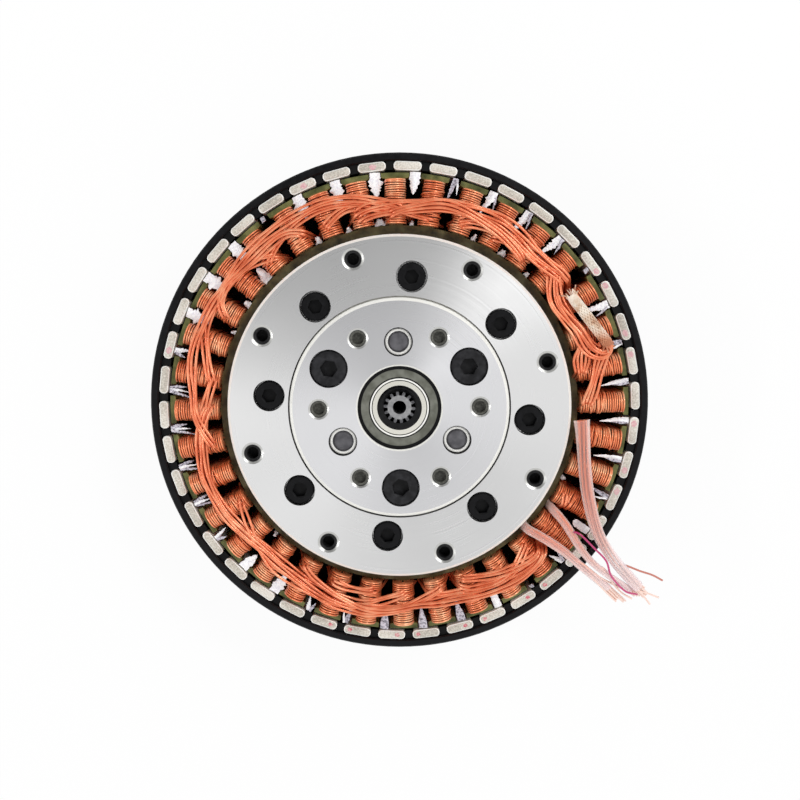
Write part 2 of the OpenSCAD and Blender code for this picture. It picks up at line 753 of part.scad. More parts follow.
// The three leads lie over the coils, pass over the rotor's rim and end bare beyond it
lead_a_path = [
    [34.9, -2.4, 27.8], [35.1, -4.4, 27.8], [35.3, -7.2, 27.8], [35.5, -10, 27.8], [35.8, -13, 27.8],
    [36.2, -16, 27.8], [36.8, -19, 27.8], [37.6, -22, 27.7], [38.7, -25, 27.5], [40.2, -27.7, 27.1],
    [41.8, -30, 26.5], [43.6, -32.2, 25.7], [45.5, -34.3, 24.7], [47.4, -36.3, 23.5], [49.3, -38.2, 22.1]
];
lead_b_path = [
    [29.5, -19.8, 22.2], [29.6, -19.9, 24], [30, -20.3, 25.7], [30.9, -21.2, 27], [32.1, -22.7, 27.6],
    [33.3, -24.6, 27.7], [34.5, -26.6, 27.6], [35.9, -28.6, 27.4], [37.6, -30.5, 27], [39.4, -32.1, 26.4],
    [41.3, -33.6, 25.6], [43.2, -35, 24.6], [45, -36.4, 23.4], [46.6, -37.8, 22], [47.7, -38.8, 20.8]
];
lead_c_path = [
    [24.4, -23.5, 23.5], [24.5, -23.6, 25.1], [25.1, -24, 26.6], [26.6, -24.7, 27.6], [28.3, -25.7, 27.8],
    [30, -26.8, 27.7], [31.7, -28, 27.6], [33.4, -29.4, 27.3], [35.1, -30.9, 26.9], [36.8, -32.4, 26.4],
    [38.5, -33.9, 25.7], [40.2, -35.4, 24.8], [41.8, -36.9, 23.7], [43.3, -38.4, 22.4], [45, -40.1, 20.7]
];
module lead(path, d) {
    color([0.93, 0.72, 0.66])
        tube(path, d / 2, [for (p = path) [-0.64, 0.77, 0]]);
}
module lead_a() { lead(lead_a_path, lead_a_d); }
module lead_b() { lead(lead_b_path, lead_bc_d); }
module lead_c() { lead(lead_c_path, lead_bc_d); }

// Housing

module gear_housing() {
    boss_r = rotor_bearing_od / 2 + 1.9;
    lip_r = rotor_bearing_od / 2 - 0.9;
    step_w = 3;
    edge = 1;
    color([0.75, 0.76, 0.78])
        rotate_extrude()
            polygon([
                [lip_r, boss_z1], [boss_r, boss_z1], [boss_r, floor_z1],
                [barrel_in_r - step_w, floor_z1], [barrel_in_r - step_w, ring_z0],
                [barrel_in_r, ring_z0], [barrel_in_r, stack_z1], [barrel_out_r, stack_z1],
                [barrel_out_r, floor_z0 + edge], [barrel_out_r - edge, floor_z0],
                [rotor_bearing_od / 2 + seat_gap, floor_z0],
                [rotor_bearing_od / 2 + seat_gap, floor_z0 + rotor_bearing_w],
                [lip_r, floor_z0 + rotor_bearing_w]
            ]);
}

module ring_gear() {
    radii = [ring_r - tooth_out, ring_r, ring_root_r];
    color([0.5, 0.5, 0.52])
        translate([0, 0, ring_z0])
            linear_extrude(ring_z1 - ring_z0)
                difference() {
                    circle(barrel_in_r - seat_gap);
                    rotate([0, 0, 90])
                        polygon(gear_outline(ring_teeth, radii, -backlash));
                    around(cover_screw_count, cover_screw_r, cover_screw_angle)
                        circle(m3_core / 2 + seat_gap);
                }
}

cover_sink_z = cover_z1 - m3_head_h - head_sunk;
module front_cover() {
    edge = 0.5;
    lip_r = output_r + pass_gap;
    color([0.86, 0.87, 0.89])
        difference() {
            rotate_extrude()
                polygon([
                    [retainer_r + seat_gap, ring_z1], [barrel_in_r - seat_gap, ring_z1],
                    [barrel_in_r - seat_gap, stack_z1], [cover_r, stack_z1], [cover_r, cover_z1 - edge],
                    [cover_r - edge, cover_z1], [lip_r, cover_z1], [lip_r, bearing_z1],
                    [output_bearing_od / 2 + seat_gap, bearing_z1],
                    [output_bearing_od / 2 + seat_gap, bearing_z0], [retainer_r + seat_gap, bearing_z0]
                ]);
            around(cover_screw_count, cover_screw_r, cover_screw_angle) {
                translate([0, 0, cover_sink_z])
                    cylinder(h = m3_head_h + 1, r = m3_sink_d / 2);
                translate([0, 0, ring_z1 - 1])
                    cylinder(h = cover_z1 - ring_z1, r = m3_hole_r);
            }
            around(fixing_count, fixing_r, fixing_angle)
                translate([0, 0, cover_z1])
                    tapped_hole(m3_core, cover_t - fixing_floor, m3_core + 1.7);
        }
}

module cover_screws() {
    color([0.1, 0.1, 0.11])
        around(cover_screw_count, cover_screw_r, cover_screw_angle)
            translate([0, 0, cover_sink_z])
                cap_screw(m3_head_d, m3_head_h, m3_d, cover_sink_z - ring_z1, m3_core, m3_thread_l, m3_key_w);
}

module bearing_retainer() {
    color([0.4, 0.4, 0.42])
        ring(slim_out_r - 0.1, retainer_r, ring_z1, bearing_z0);
}

// Output

output_hub_r = centre_bearing_od / 2 - 1.4;
carrier_sink_z = output_z1 - m4_head_h - head_sunk;
module output_flange() {
    color([0.88, 0.89, 0.91])
        difference() {
            rotate_extrude()
                polygon([
                    [output_hub_r, flange_z0], [neck_r, flange_z0], [neck_r, bearing_z1],
                    [slim_in_r, bearing_z1], [slim_in_r, head_z0], [output_r, head_z0],
                    [output_r, output_z1 - output_bevel], [output_r - output_bevel, output_z1],
                    [centre_bearing_od / 2 + 0.3, output_z1],
                    [centre_bearing_od / 2 + seat_gap, output_z1 - 0.3],
                    [centre_bearing_od / 2 + seat_gap, centre_z0], [output_hub_r, centre_z0]
                ]);
            around(planet_count, output_hole_r, carrier_angle + 30) {
                translate([0, 0, carrier_sink_z])
                    cylinder(h = m4_head_h + 1, r = m4_sink_d / 2);
                translate([0, 0, flange_z0 - 1])
                    cylinder(h = output_z1 - flange_z0, r = m4_d / 2 + 0.1);
            }
            around(output_count, output_hole_r, carrier_angle)
                translate([0, 0, output_z1])
                    tapped_hole(m3_core, output_depth, m3_core + 1.5);
            around(planet_count, centre_r, carrier_angle + 90) {
                translate([0, 0, flange_z0 - 1])
                    cylinder(h = output_z1 - flange_z0, r = pin_d / 2 + seat_gap);
                translate([0, 0, output_z1 - pin_recess_h])
                    cylinder(h = pin_recess_h + 1, r = pin_recess_d / 2);
            }
        }
}

// The rear half of the carrier: a plate with three posts that fill the room between the planets
module rear_carrier() {
    post_r = slim_in_r;
    post_in_r = centre_r - 5;
    hole_floor = 1.2;
    color([0.6, 0.6, 0.62])
        difference() {
            union() {
                ring(sun_tip_r + 1, post_r, rear_z0, rear_z1);
                difference() {
                    ring(post_in_r, post_r, rear_z1 - rear_t / 2, bearing_z0);
                    translate([0, 0, flange_z0])
                        cylinder(h = bearing_z0, r = output_bearing_bore / 2);
                    around(planet_count, centre_r, carrier_angle + 90)
                        translate([0, 0, rear_z1])
                            cylinder(h = bearing_z0, r = planet_r + tooth_out + post_clear);
                }
            }
            around(planet_count, output_hole_r, carrier_angle + 30)
                translate([0, 0, rear_z0 + hole_floor])
                    cylinder(h = bearing_z0, r = m4_core / 2 + seat_gap);
            around(planet_count, centre_r, carrier_angle + 90)
                translate([0, 0, rear_z0 - 1])
                    cylinder(h = rear_t + 2, r = pin_d / 2 + seat_gap);
        }
}

module carrier_screws() {
    color([0.1, 0.1, 0.11])
        around(planet_count, output_hole_r, carrier_angle + 30)
            translate([0, 0, carrier_sink_z])
                cap_screw(m4_head_d, m4_head_h, m4_d, carrier_sink_z - flange_z0, m4_core, m4_thread_l,
                          m4_key_w);
}

module planet_pins() {
    top = output_z1 - pin_recess_h + 0.2;
    edge = 0.35;
    color([0.6, 0.61, 0.63])
        around(planet_count, centre_r, carrier_angle + 90)
            rotate_extrude()
                polygon([
                    [0, rear_z0 + 0.1], [pin_d / 2 - edge, rear_z0 + 0.1], [pin_d / 2, rear_z0 + 0.1 + edge],
                    [pin_d / 2, top - edge], [pin_d / 2 - edge, top], [0, top]
                ]);
}

bush_in_r = pin_d / 2 + turn_gap;
bush_out_r = bush_in_r + bush_wall;
module thrust_washers() {
    washer_edge = 1.2;
    color([0.72, 0.6, 0.35])
        around(planet_count, centre_r, carrier_angle + 90) {
            ring(bush_in_r, bush_out_r + washer_edge, rear_z1, rear_z1 + washer_t);
            ring(bush_in_r, bush_out_r + washer_edge, flange_z0 - washer_t, flange_z0);
        }
}

// Planets

module at_planet(i) {
    rotate([0, 0, carrier_angle])
        translate([centre_r * cos(planet_at(i)), centre_r * sin(planet_at(i)), 0])
            children();
}
module planet_gear(i) {
    radii = [planet_r - tooth_in, planet_r, planet_r + tooth_out];
    color([0.48, 0.48, 0.5])
        at_planet(i)
            translate([0, 0, planet_z0])
                linear_extrude(planet_w)
                    difference() {
                        rotate([0, 0, planet_turn(i)])
                            polygon(gear_outline(planet_teeth, radii, backlash));
                        circle(bush_out_r + seat_gap);
                    }
}
module planet_bush(i) {
    color([0.75, 0.55, 0.3])
        at_planet(i)
            ring(bush_in_r, bush_out_r, planet_z0, planet_z1);
}
module planet_gear_1() { planet_gear(0); }
module planet_gear_2() { planet_gear(1); }
module planet_gear_3() { planet_gear(2); }
module planet_bush_1() { planet_bush(0); }
module planet_bush_2() { planet_bush(1); }
module planet_bush_3() { planet_bush(2); }

// Bearings

slim_pitch_r = (output_bearing_bore + output_bearing_od) / 4;
slim_ball_r = output_ball_d / 2;
slim_z = (bearing_z0 + bearing_z1) / 2;
module output_bearing_inner() {
    color([0.7, 0.71, 0.73])
        race(output_bearing_bore / 2, slim_in_r, bearing_z0, bearing_z1,
             slim_ball_r + groove_clear, slim_pitch_r);
}
module output_bearing_outer() {
    color([0.7, 0.71, 0.73])
        race(slim_out_r, output_bearing_od / 2, bearing_z0, bearing_z1,
             slim_ball_r + groove_clear, slim_pitch_r);
}
module output_bearing_balls() {
    color([0.8, 0.8, 0.82])
        balls(output_balls, slim_ball_r, slim_pitch_r, slim_z);
}
module output_bearing_cage() {
    color([0.72, 0.6, 0.35])
        cage(output_balls, slim_ball_r, slim_pitch_r, slim_z, cage_t);
}

rotor_pitch_r = (rotor_bearing_bore + rotor_bearing_od) / 4;
rotor_ball_r = rotor_ball_d / 2;
rotor_bearing_z = floor_z0 + rotor_bearing_w / 2;
module rotor_bearing_inner() {
    color([0.7, 0.71, 0.73])
        race(rotor_bearing_bore / 2 + seat_gap, rotor_bearing_bore / 2 + rotor_race_t,
             floor_z0, floor_z0 + rotor_bearing_w, rotor_ball_r + groove_clear, rotor_pitch_r);
}
module rotor_bearing_outer() {
    color([0.7, 0.71, 0.73])
        race(rotor_bearing_od / 2 - rotor_race_t, rotor_bearing_od / 2, floor_z0,
             floor_z0 + rotor_bearing_w, rotor_ball_r + groove_clear, rotor_pitch_r);
}
module rotor_bearing_balls() {
    color([0.8, 0.8, 0.82])
        balls(rotor_balls, rotor_ball_r, rotor_pitch_r, rotor_bearing_z);
}
module rotor_bearing_cage() {
    color([0.72, 0.6, 0.35])
        cage(rotor_balls, rotor_ball_r, rotor_pitch_r, rotor_bearing_z, slim_cage_t);
}

centre_pitch_r = (centre_bearing_bore + centre_bearing_od) / 4;
centre_ball_r = centre_ball_d / 2;
shield_z1 = centre_z1 - 0.1;
shield_t = 0.3;
shield_r = centre_bearing_od / 2 - 0.62;
centre_z = (centre_z0 + centre_z1) / 2;
module centre_bearing_inner() {
    color([0.85, 0.83, 0.78])
        race(centre_bearing_bore / 2, centre_bearing_bore / 2 + centre_race_t, centre_z0, centre_z1,
             centre_ball_r + groove_clear, centre_pitch_r);
}
module centre_bearing_outer() {
    color([0.2, 0.2, 0.21])
        difference() {
            race(centre_bearing_od / 2 - centre_race_t, centre_bearing_od / 2, centre_z0, centre_z1,
                 centre_ball_r + groove_clear, centre_pitch_r);
            translate([0, 0, shield_z1 - shield_t])
                cylinder(h = 1, r = shield_r);
        }
}
module centre_bearing_shield() {
    color([0.62, 0.63, 0.65])
        ring(centre_bearing_bore / 2 + centre_race_t + 0.2, shield_r - seat_gap,
             shield_z1 - shield_t, shield_z1);
}
module centre_bearing_balls() {
    color([0.8, 0.8, 0.82])
        balls(centre_balls, centre_ball_r, centre_pitch_r, centre_z);
}
module centre_bearing_cage() {
    color([0.72, 0.6, 0.35])
        cage(centre_balls, centre_ball_r, centre_pitch_r, centre_z, cage_t);
}

rotor_bell();
rotor_ring();
magnets();
magnet_holder();
sun_shaft();
bell_screws();
support_sleeve();
rotor_bearing_inner();
centre_bearing_inner();
gear_housing();
stator_core();
coils_a();
coils_b();
coils_c();
slot_wedges();
phase_link_a();
phase_link_b();
phase_link_c();
star_point_sleeve();
lead_a();
lead_b();
lead_c();
ring_gear();
front_cover();
cover_screws();
bearing_retainer();
output_bearing_outer();
rotor_bearing_outer();
output_flange();
rear_carrier();
carrier_screws();
planet_pins();
thrust_washers();
output_bearing_inner();
centre_bearing_outer();
centre_bearing_shield();
planet_gear_1();
planet_gear_2();
planet_gear_3();
planet_bush_1();
planet_bush_2();
planet_bush_3();
output_bearing_balls();
output_bearing_cage();
rotor_bearing_balls();
rotor_bearing_cage();
centre_bearing_balls();
centre_bearing_cage();
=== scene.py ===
# The gear motor's finish: wire turns, link strands, leads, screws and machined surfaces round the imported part
import json
import math
import random
from contextlib import contextmanager
from itertools import accumulate

import bmesh
import bpy
from mathutils import Matrix, Vector


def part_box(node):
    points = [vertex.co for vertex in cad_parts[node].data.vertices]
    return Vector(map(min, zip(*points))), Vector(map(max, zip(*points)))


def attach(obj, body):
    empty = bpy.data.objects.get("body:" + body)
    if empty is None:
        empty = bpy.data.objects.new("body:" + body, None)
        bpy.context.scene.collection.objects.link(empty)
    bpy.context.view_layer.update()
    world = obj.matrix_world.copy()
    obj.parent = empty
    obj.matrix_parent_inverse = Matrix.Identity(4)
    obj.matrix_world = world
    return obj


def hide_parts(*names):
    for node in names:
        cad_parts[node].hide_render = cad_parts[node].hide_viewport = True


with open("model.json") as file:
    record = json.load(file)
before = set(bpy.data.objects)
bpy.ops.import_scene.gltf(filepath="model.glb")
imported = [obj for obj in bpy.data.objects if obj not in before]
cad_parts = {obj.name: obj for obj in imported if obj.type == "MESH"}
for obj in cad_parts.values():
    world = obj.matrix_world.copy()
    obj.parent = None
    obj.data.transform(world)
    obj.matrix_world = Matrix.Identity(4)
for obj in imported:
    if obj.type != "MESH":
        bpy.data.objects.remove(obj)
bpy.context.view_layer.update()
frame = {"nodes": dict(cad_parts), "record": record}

NODES = frame["nodes"]
MM = 0.001
TURN = 2 * math.pi
UP = Vector((0, 0, 1))

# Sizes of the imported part, in metres: read from its nodes where they can be, or else repeated here
SLOTS = 36
SLOT_STEP = TURN / SLOTS
TOOTH_ANGLE = math.radians(1.1)
SLOT_ANGLE = TOOTH_ANGLE + SLOT_STEP / 2
MAGNETS = 42
MAGNET_ANGLE = math.radians(2.33)
MAGNET_WIDE, MAGNET_THICK, MAGNET_IN_R = 5.4 * MM, 1.75 * MM, 45.14 * MM
MAGNET_LOW, MAGNET_HIGH = (corner.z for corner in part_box("magnets"))
STACK_LOW, STACK_HIGH = (corner.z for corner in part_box("stator_core"))
COIL_IN = min(math.hypot(v.co.x, v.co.y) for v in NODES["coils_a"].data.vertices)
COIL_OUT = 43.37 * MM
COIL_HALF = 2.05 * MM
COIL_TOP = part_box("coils_a")[1].z
COVER_FACE, OUTPUT_FACE = (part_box(node)[1].z for node in ("front_cover", "output_flange"))
# Radii of the circles on which the tapped holes lie
COVER_HOLES_R, OUTPUT_HOLES_R = 29.49 * MM, 15.4 * MM


# Camera, as the photograph: nearly down the axis, tipped a little towards the lower edge

def place_camera():
    aim = Vector((0.1, 1.07, 23.7)) * MM
    tilt = math.radians(5.7)
    away = 206.5 * MM
    spot = aim + away * Vector((0, math.sin(tilt), math.cos(tilt)))
    bpy.ops.object.camera_add(location=spot, rotation=(-tilt, 0, 0))
    camera = bpy.context.object
    camera.name = "camera"
    camera.data.lens = 47.7
    camera.data.sensor_width = 36
    camera.data.clip_start = 0.02
    bpy.context.scene.camera = camera


# Materials: one function reads a hex colour, one adds a node

def colour(text):
    """A linear colour from an sRGB hex value."""
    parts = [int(text[k:k + 2], 16) / 255 for k in (1, 3, 5)]
    return [c / 12.92 if c <= 0.04045 else ((c + 0.055) / 1.055) ** 2.4 for c in parts] + [1.0]


def feed(tree, node, inputs):
    """Gives each input of a node its value, or the output that feeds it."""
    for socket, value in inputs.items():
        if isinstance(value, bpy.types.NodeSocket):
            tree.links.new(value, node.inputs[socket])
        else:
            node.inputs[socket].default_value = value


def add(tree, kind, inputs, out=0, stops=(), **settings):
    """Adds a node with its inputs and settings and returns one output; stops are a ramp's, in hex colours."""
    node = tree.nodes.new("ShaderNode" + kind)
    for name, value in settings.items():
        setattr(node, name, value)
    for _ in stops[2:]:
        node.color_ramp.elements.new(0.5)
    for k, (at, text) in enumerate(stops):
        node.color_ramp.elements[k].position = at
        node.color_ramp.elements[k].color = colour(text)
    feed(tree, node, inputs)
    return node.outputs[out]


def new_material(name):
    """A material, its tree, and the place on the piece that its patterns read."""
    made = bpy.data.materials.new(name)
    made.use_nodes = True
    return made, made.node_tree, add(made.node_tree, "TexCoord", {}, "Object")


def shaded(made, sockets):
    """Sets or links the sockets of a material's shader."""
    feed(made.node_tree, made.node_tree.nodes["Principled BSDF"], sockets)
    return made


def from_axis(tree, place):
    """Distance from the motor's axis, in metres."""
    flat = add(tree, "VectorMath", {0: place, 1: (1, 1, 0)}, operation="MULTIPLY")
    return add(tree, "VectorMath", {0: flat}, "Value", operation="LENGTH")


def mottled(name, shade, relief, sockets):
    """A finish whose colour wanders in blotches over a fine relief, with constants on its other sockets.

    shade is the blotches' size and detail and the ramp's stops; relief the grain's size, detail and depth.
    """
    made, tree, place = new_material(name)
    size, detail, stops = shade
    blotches = add(tree, "TexNoise", {"Vector": place, "Scale": 1 / size, "Detail": detail})
    size, detail, depth = relief
    grain = add(tree, "TexNoise", {"Vector": place, "Scale": 1 / size, "Detail": detail})
    return shaded(made, {
        "Base Color": add(tree, "ValToRGB", {0: blotches}, stops=stops),
        "Normal": add(tree, "Bump", {"Height": grain, "Distance": depth}),
        **sockets,
    })


def turned_metal(name, base, pitch, roughness, anisotropic, holes_r=0.0, face=0.0):
    """Metal cut on a lathe: fine rings of that pitch, which draw the light out into bright sectors.

    holes_r is the radius of the circle of tapped holes in it, and face the height of the face they are in.
    """
    made, tree, place = new_material(name)
    radius = from_axis(tree, place)
    rings = add(tree, "TexNoise", {"W": radius, "Scale": 1 / pitch, "Detail": 3}, noise_dimensions="1D")
    smears = add(tree, "TexNoise", {"Vector": place, "Scale": 1 / (9 * MM), "Detail": 2})
    uneven = add(tree, "MixRGB", {0: 0.6, 1: smears, 2: rings})
    # Chamfers, found by their slope: a painted highlight, near white and partly matt, so they look bright from
    # every side
    tilt = add(tree, "SeparateXYZ", {0: add(tree, "TexCoord", {}, "Normal")}, "Z")
    slope = add(tree, "Math", {0: tilt, 1: 0.707}, operation="SUBTRACT")
    slope = add(tree, "Math", {0: slope}, operation="ABSOLUTE")
    chamfer_mask = add(tree, "Math", {0: slope, 1: 0.25}, operation="LESS_THAN")
    by_holes = add(tree, "Math", {0: radius, 1: holes_r, 2: 2.6 * MM}, operation="COMPARE")
    dull = add(tree, "MapRange", {"Value": by_holes, "To Min": 0.15, "To Max": 0.7})
    # Painted shade: round the tapped holes, the lower part of each countersink, where the thread starts, is
    # near black
    height = add(tree, "SeparateXYZ", {0: place}, "Z")
    high = add(tree, "MapRange", {"Value": height, "From Min": face - 0.2 * MM, "From Max": face - 0.14 * MM})
    sink_shade = add(tree, "MixRGB", {0: high, 1: colour("#1d1d1d"), 2: colour("#c2c2bf")})
    edge = add(tree, "MixRGB", {0: by_holes, 1: colour("#f5f4ee"), 2: sink_shade})
    return shaded(made, {
        "Base Color": add(tree, "MixRGB", {0: chamfer_mask, 1: colour(base), 2: edge}),
        "Metallic": add(tree, "MapRange", {"Value": chamfer_mask, "To Min": 1.0, "To Max": dull}),
        "Roughness": add(tree, "MapRange", {"Value": uneven, "From Min": 0.3, "From Max": 0.7,
                                            "To Min": roughness * 0.85, "To Max": roughness * 1.2}),
        "Normal": add(tree, "Bump", {"Height": rings, "Distance": 0.001 * MM}),
        "Anisotropic": anisotropic,
        "Anisotropic Rotation": 0.25,
        "Tangent": add(tree, "Tangent", {}, direction_type="RADIAL", axis="Z"),
    })


def cut_metal(name, base, roughness, depth=0.004 * MM):
    """Ground or milled metal with a fine even grain."""
    made, tree, place = new_material(name)
    grain = add(tree, "TexNoise", {"Vector": place, "Scale": 1 / (0.3 * MM), "Detail": 4})
    return shaded(made, {
        "Base Color": colour(base),
        "Metallic": 1.0,
        "Roughness": add(tree, "MapRange", {"Value": grain, "From Min": 0.3, "From Max": 0.7,
                                            "To Min": roughness * 0.8, "To Max": roughness * 1.25}),
        "Normal": add(tree, "Bump", {"Height": grain, "Distance": depth}),
    })


def black_oxide(name, base, roughness, worn="#19191b"):
    """Black oxide on alloy steel: near black, with a faint oily sheen and a fine grain."""
    made, tree, place = new_material(name)
    wear = add(tree, "TexNoise", {"Vector": place, "Scale": 1 / (1.2 * MM), "Detail": 5})
    grain = add(tree, "TexNoise", {"Vector": place, "Scale": 1 / (0.15 * MM), "Detail": 3})
    return shaded(made, {
        "Base Color": add(tree, "ValToRGB", {0: wear}, stops=((0.4, base), (0.8, worn))),
        "Metallic": 0.0,
        "Roughness": add(tree, "MapRange", {"Value": wear, "From Min": 0.3, "From Max": 0.7,
                                            "To Min": roughness * 0.8, "To Max": roughness * 1.2}),
        "Normal": add(tree, "Bump", {"Height": grain, "Distance": 0.004 * MM}),
        "Specular IOR Level": 0.16,
    })


def enamelled_copper(name, low, middle, high):
    """Enamelled copper wire: orange metal under a clear, slightly uneven varnish."""
    return mottled(name, (3.5 * MM, 3, ((0.3, low), (0.5, middle), (0.7, high))), (0.35 * MM, 2, 0.01 * MM),
                   {"Metallic": 0.5, "Roughness": 0.3, "Coat Weight": 0.6, "Coat Roughness": 0.14})


def shaded_copper(name):
    """The lower layers of a coil: the same enamelled wire, painted dark red as the shade they lie in under the
    outer turns.
    """
    return mottled(name, (0.5 * MM, 2, ((0.35, "#1c0a10"), (0.7, "#571d16"))), (0.5 * MM, 2, 0.05 * MM),
                   {"Metallic": 0.0, "Roughness": 0.6})


def slot_paper(name, low, high, roughness):
    """Slot insulation: polyester film over aramid paper, fibrous, creased and slightly glossy."""
    return mottled(name, (0.45 * MM, 5, ((0.35, low), (0.55, high))), (0.45 * MM, 5, 0.04 * MM),
                   {"Metallic": 0.0, "Roughness": roughness})


def phosphated(name, low, high):
    """Phosphated steel: matt grey crystals that scatter the light, a little uneven in shade."""
    return mottled(name, (1.6 * MM, 4, ((0.35, low), (0.65, high))), (0.2 * MM, 3, 0.01 * MM),
                   {"Metallic": 0.35, "Roughness": 0.55})


def marking_paint(name, base):
    """A dab of marker paint: thin, matt and patchy at its edge."""
    return mottled(name, (0.35 * MM, 4, ((0.35, base), (0.75, "#e3cfc9"))), (0.35 * MM, 4, 0.01 * MM),
                   {"Metallic": 0.0, "Roughness": 0.6})


def shaded_thread(name, base, worn):
    """A cut thread in painted shade: nearly black, mottled a little lighter."""
    return mottled(name, (0.4 * MM, 4, ((0.4, base), (0.75, worn))), (0.4 * MM, 4, 0.02 * MM),
                   {"Metallic": 0.2, "Roughness": 0.5, "Specular IOR Level": 0.25})


def bronze(name):
    """Sintered bronze: matt yellow-brown with fine pores."""
    return mottled(name, (0.25 * MM, 4, ((0.35, "#8a6a38"), (0.6, "#bb9556"))), (0.25 * MM, 4, 0.01 * MM),
                   {"Metallic": 1.0, "Roughness": 0.45})


def painted_highlight(name):
    """A painted highlight: near white and hardly metallic, so it looks bright from every side; used on the
    magnets' edge bevels and on rings.
    """
    made, tree, place = new_material(name)
    grain = add(tree, "TexNoise", {"Vector": place, "Scale": 1 / (0.2 * MM), "Detail": 3})
    return shaded(made, {
        "Base Color": colour("#f6f5f0"),
        "Metallic": 0.1,
        "Roughness": 0.4,
        "Normal": add(tree, "Bump", {"Height": grain, "Distance": 0.004 * MM}),
    })


def coated_laminations(name):
    """Electrical steel sheets under olive epoxy: sheet edges show as fine lines round the sides."""
    made, tree, place = new_material(name)
    radius = from_axis(tree, place)
    blots = add(tree, "TexNoise", {"Vector": place, "Scale": 1 / (2.2 * MM), "Detail": 5})
    yoke = add(tree, "ValToRGB", {0: blots}, stops=((0.3, "#2c2617"), (0.5, "#4a422b"), (0.72, "#615c3e")))
    tips = add(tree, "ValToRGB", {0: blots}, stops=((0.3, "#3e421f"), (0.5, "#60653a"), (0.72, "#808250")))
    outward = add(tree, "MapRange", {"Value": radius, "From Min": 34 * MM, "From Max": 40 * MM})
    coat = add(tree, "MixRGB", {0: outward, 1: yoke, 2: tips})
    # The varnish has run out of the coils and dried to ochre beside them
    run = add(tree, "MapRange", {"Value": radius, "From Min": 44 * MM, "From Max": 43.2 * MM, "To Max": 0.75})
    run = add(tree, "Math", {0: run, 1: outward}, operation="MULTIPLY")
    # Sheets of 0.5 mm, which show as lines between the coils; a wave's bands lie TURN / 20 / scale apart
    sheets = add(tree, "TexWave", {"Vector": place, "Scale": 1 / (0.5 * MM) / 20 * TURN}, "Fac",
                 wave_type="BANDS", bands_direction="Z")
    grit = add(tree, "TexNoise", {"Vector": place, "Scale": 1 / (0.3 * MM), "Detail": 4})
    rough = add(tree, "Bump", {"Height": grit, "Distance": 0.02 * MM})
    return shaded(made, {
        "Base Color": add(tree, "MixRGB", {0: run, 1: coat, 2: colour("#a5803f")}),
        "Metallic": 0.05,
        "Roughness": 0.4,
        "Normal": add(tree, "Bump", {"Height": sheets, "Distance": 0.015 * MM, "Normal": rough}),
        "Specular IOR Level": 0.25,
    })


def shaft_end(name):
    """Hobbed gear steel whose ground end face is bright inside and dark with oil out on the teeth."""
    made, tree, place = new_material(name)
    wear = add(tree, "TexNoise", {"Vector": place, "Scale": 1 / (0.8 * MM), "Detail": 4})
    radius = from_axis(tree, place)
    teeth = add(tree, "MapRange", {"Value": radius, "From Min": 2.2 * MM, "From Max": 2.55 * MM})
    ground = add(tree, "ValToRGB", {0: wear}, stops=((0.3, "#8b8b8d"), (0.7, "#ababac")))
    oiled = add(tree, "ValToRGB", {0: wear}, stops=((0.3, "#4d4d50"), (0.7, "#77777a")))
    return shaded(made, {
        "Base Color": add(tree, "MixRGB", {0: teeth, 1: ground, 2: oiled}),
        "Metallic": 0.85,
        "Roughness": 0.4,
        "Normal": add(tree, "Bump", {"Height": wear, "Distance": 0.004 * MM}),
    })


def sintered_magnet(name):
    """Nickel plated magnets under matt varnish: grey-cream, finely mottled."""
    made, tree, place = new_material(name)
    grains = add(tree, "TexNoise", {"Vector": place, "Scale": 1 / (0.35 * MM), "Detail": 6})
    clouds = add(tree, "TexNoise", {"Vector": place, "Scale": 1 / (11 * MM), "Detail": 1})
    blend = add(tree, "MixRGB", {0: 0.45, 1: grains, 2: clouds})
    return shaded(made, {
        "Base Color": add(tree, "ValToRGB", {0: blend},
                          stops=((0.36, "#a9a399"), (0.5, "#ccc7bb"), (0.62, "#e6e2d8"))),
        "Metallic": 0.1,
        "Roughness": 0.5,
        "Normal": add(tree, "Bump", {"Height": grains, "Distance": 0.008 * MM}),
    })


def along_lead(tree, place, near, far):
    """A colour that turns from near to far from the winding out to the leads' bare ends."""
    radius = from_axis(tree, place)
    outward = add(tree, "MapRange", {"Value": radius, "From Min": 36 * MM, "From Max": 57 * MM})
    return add(tree, "ValToRGB", {0: outward}, stops=((0.1, near), (0.8, far)))


def clear_sleeve(name):
    """Clear heat-resistant tubing: pink from the wire in it, whiter towards its end and along its folds."""
    made, tree, place = new_material(name)
    waves = add(tree, "TexNoise", {"Vector": place, "Scale": 1 / (0.8 * MM), "Detail": 2})
    wall = add(tree, "LayerWeight", {"Blend": 0.45}, "Facing")
    return shaded(made, {
        "Base Color": along_lead(tree, place, "#fce6df", "#fff2f5"),
        "Metallic": 0.0,
        "Roughness": 0.2,
        "Normal": add(tree, "Bump", {"Height": waves, "Distance": 0.03 * MM}),
        "Alpha": add(tree, "MapRange", {"Value": wall, "To Min": 0.1, "To Max": 0.95}),
    })


def lead_strand(name, near, far):
    """Fine tinned and enamelled strands: orange at the winding, pale pink at their ends."""
    made, tree, place = new_material(name)
    return shaded(made, {"Base Color": along_lead(tree, place, near, far), "Metallic": 0.2, "Roughness": 0.4,
                         "Coat Weight": 0.3})


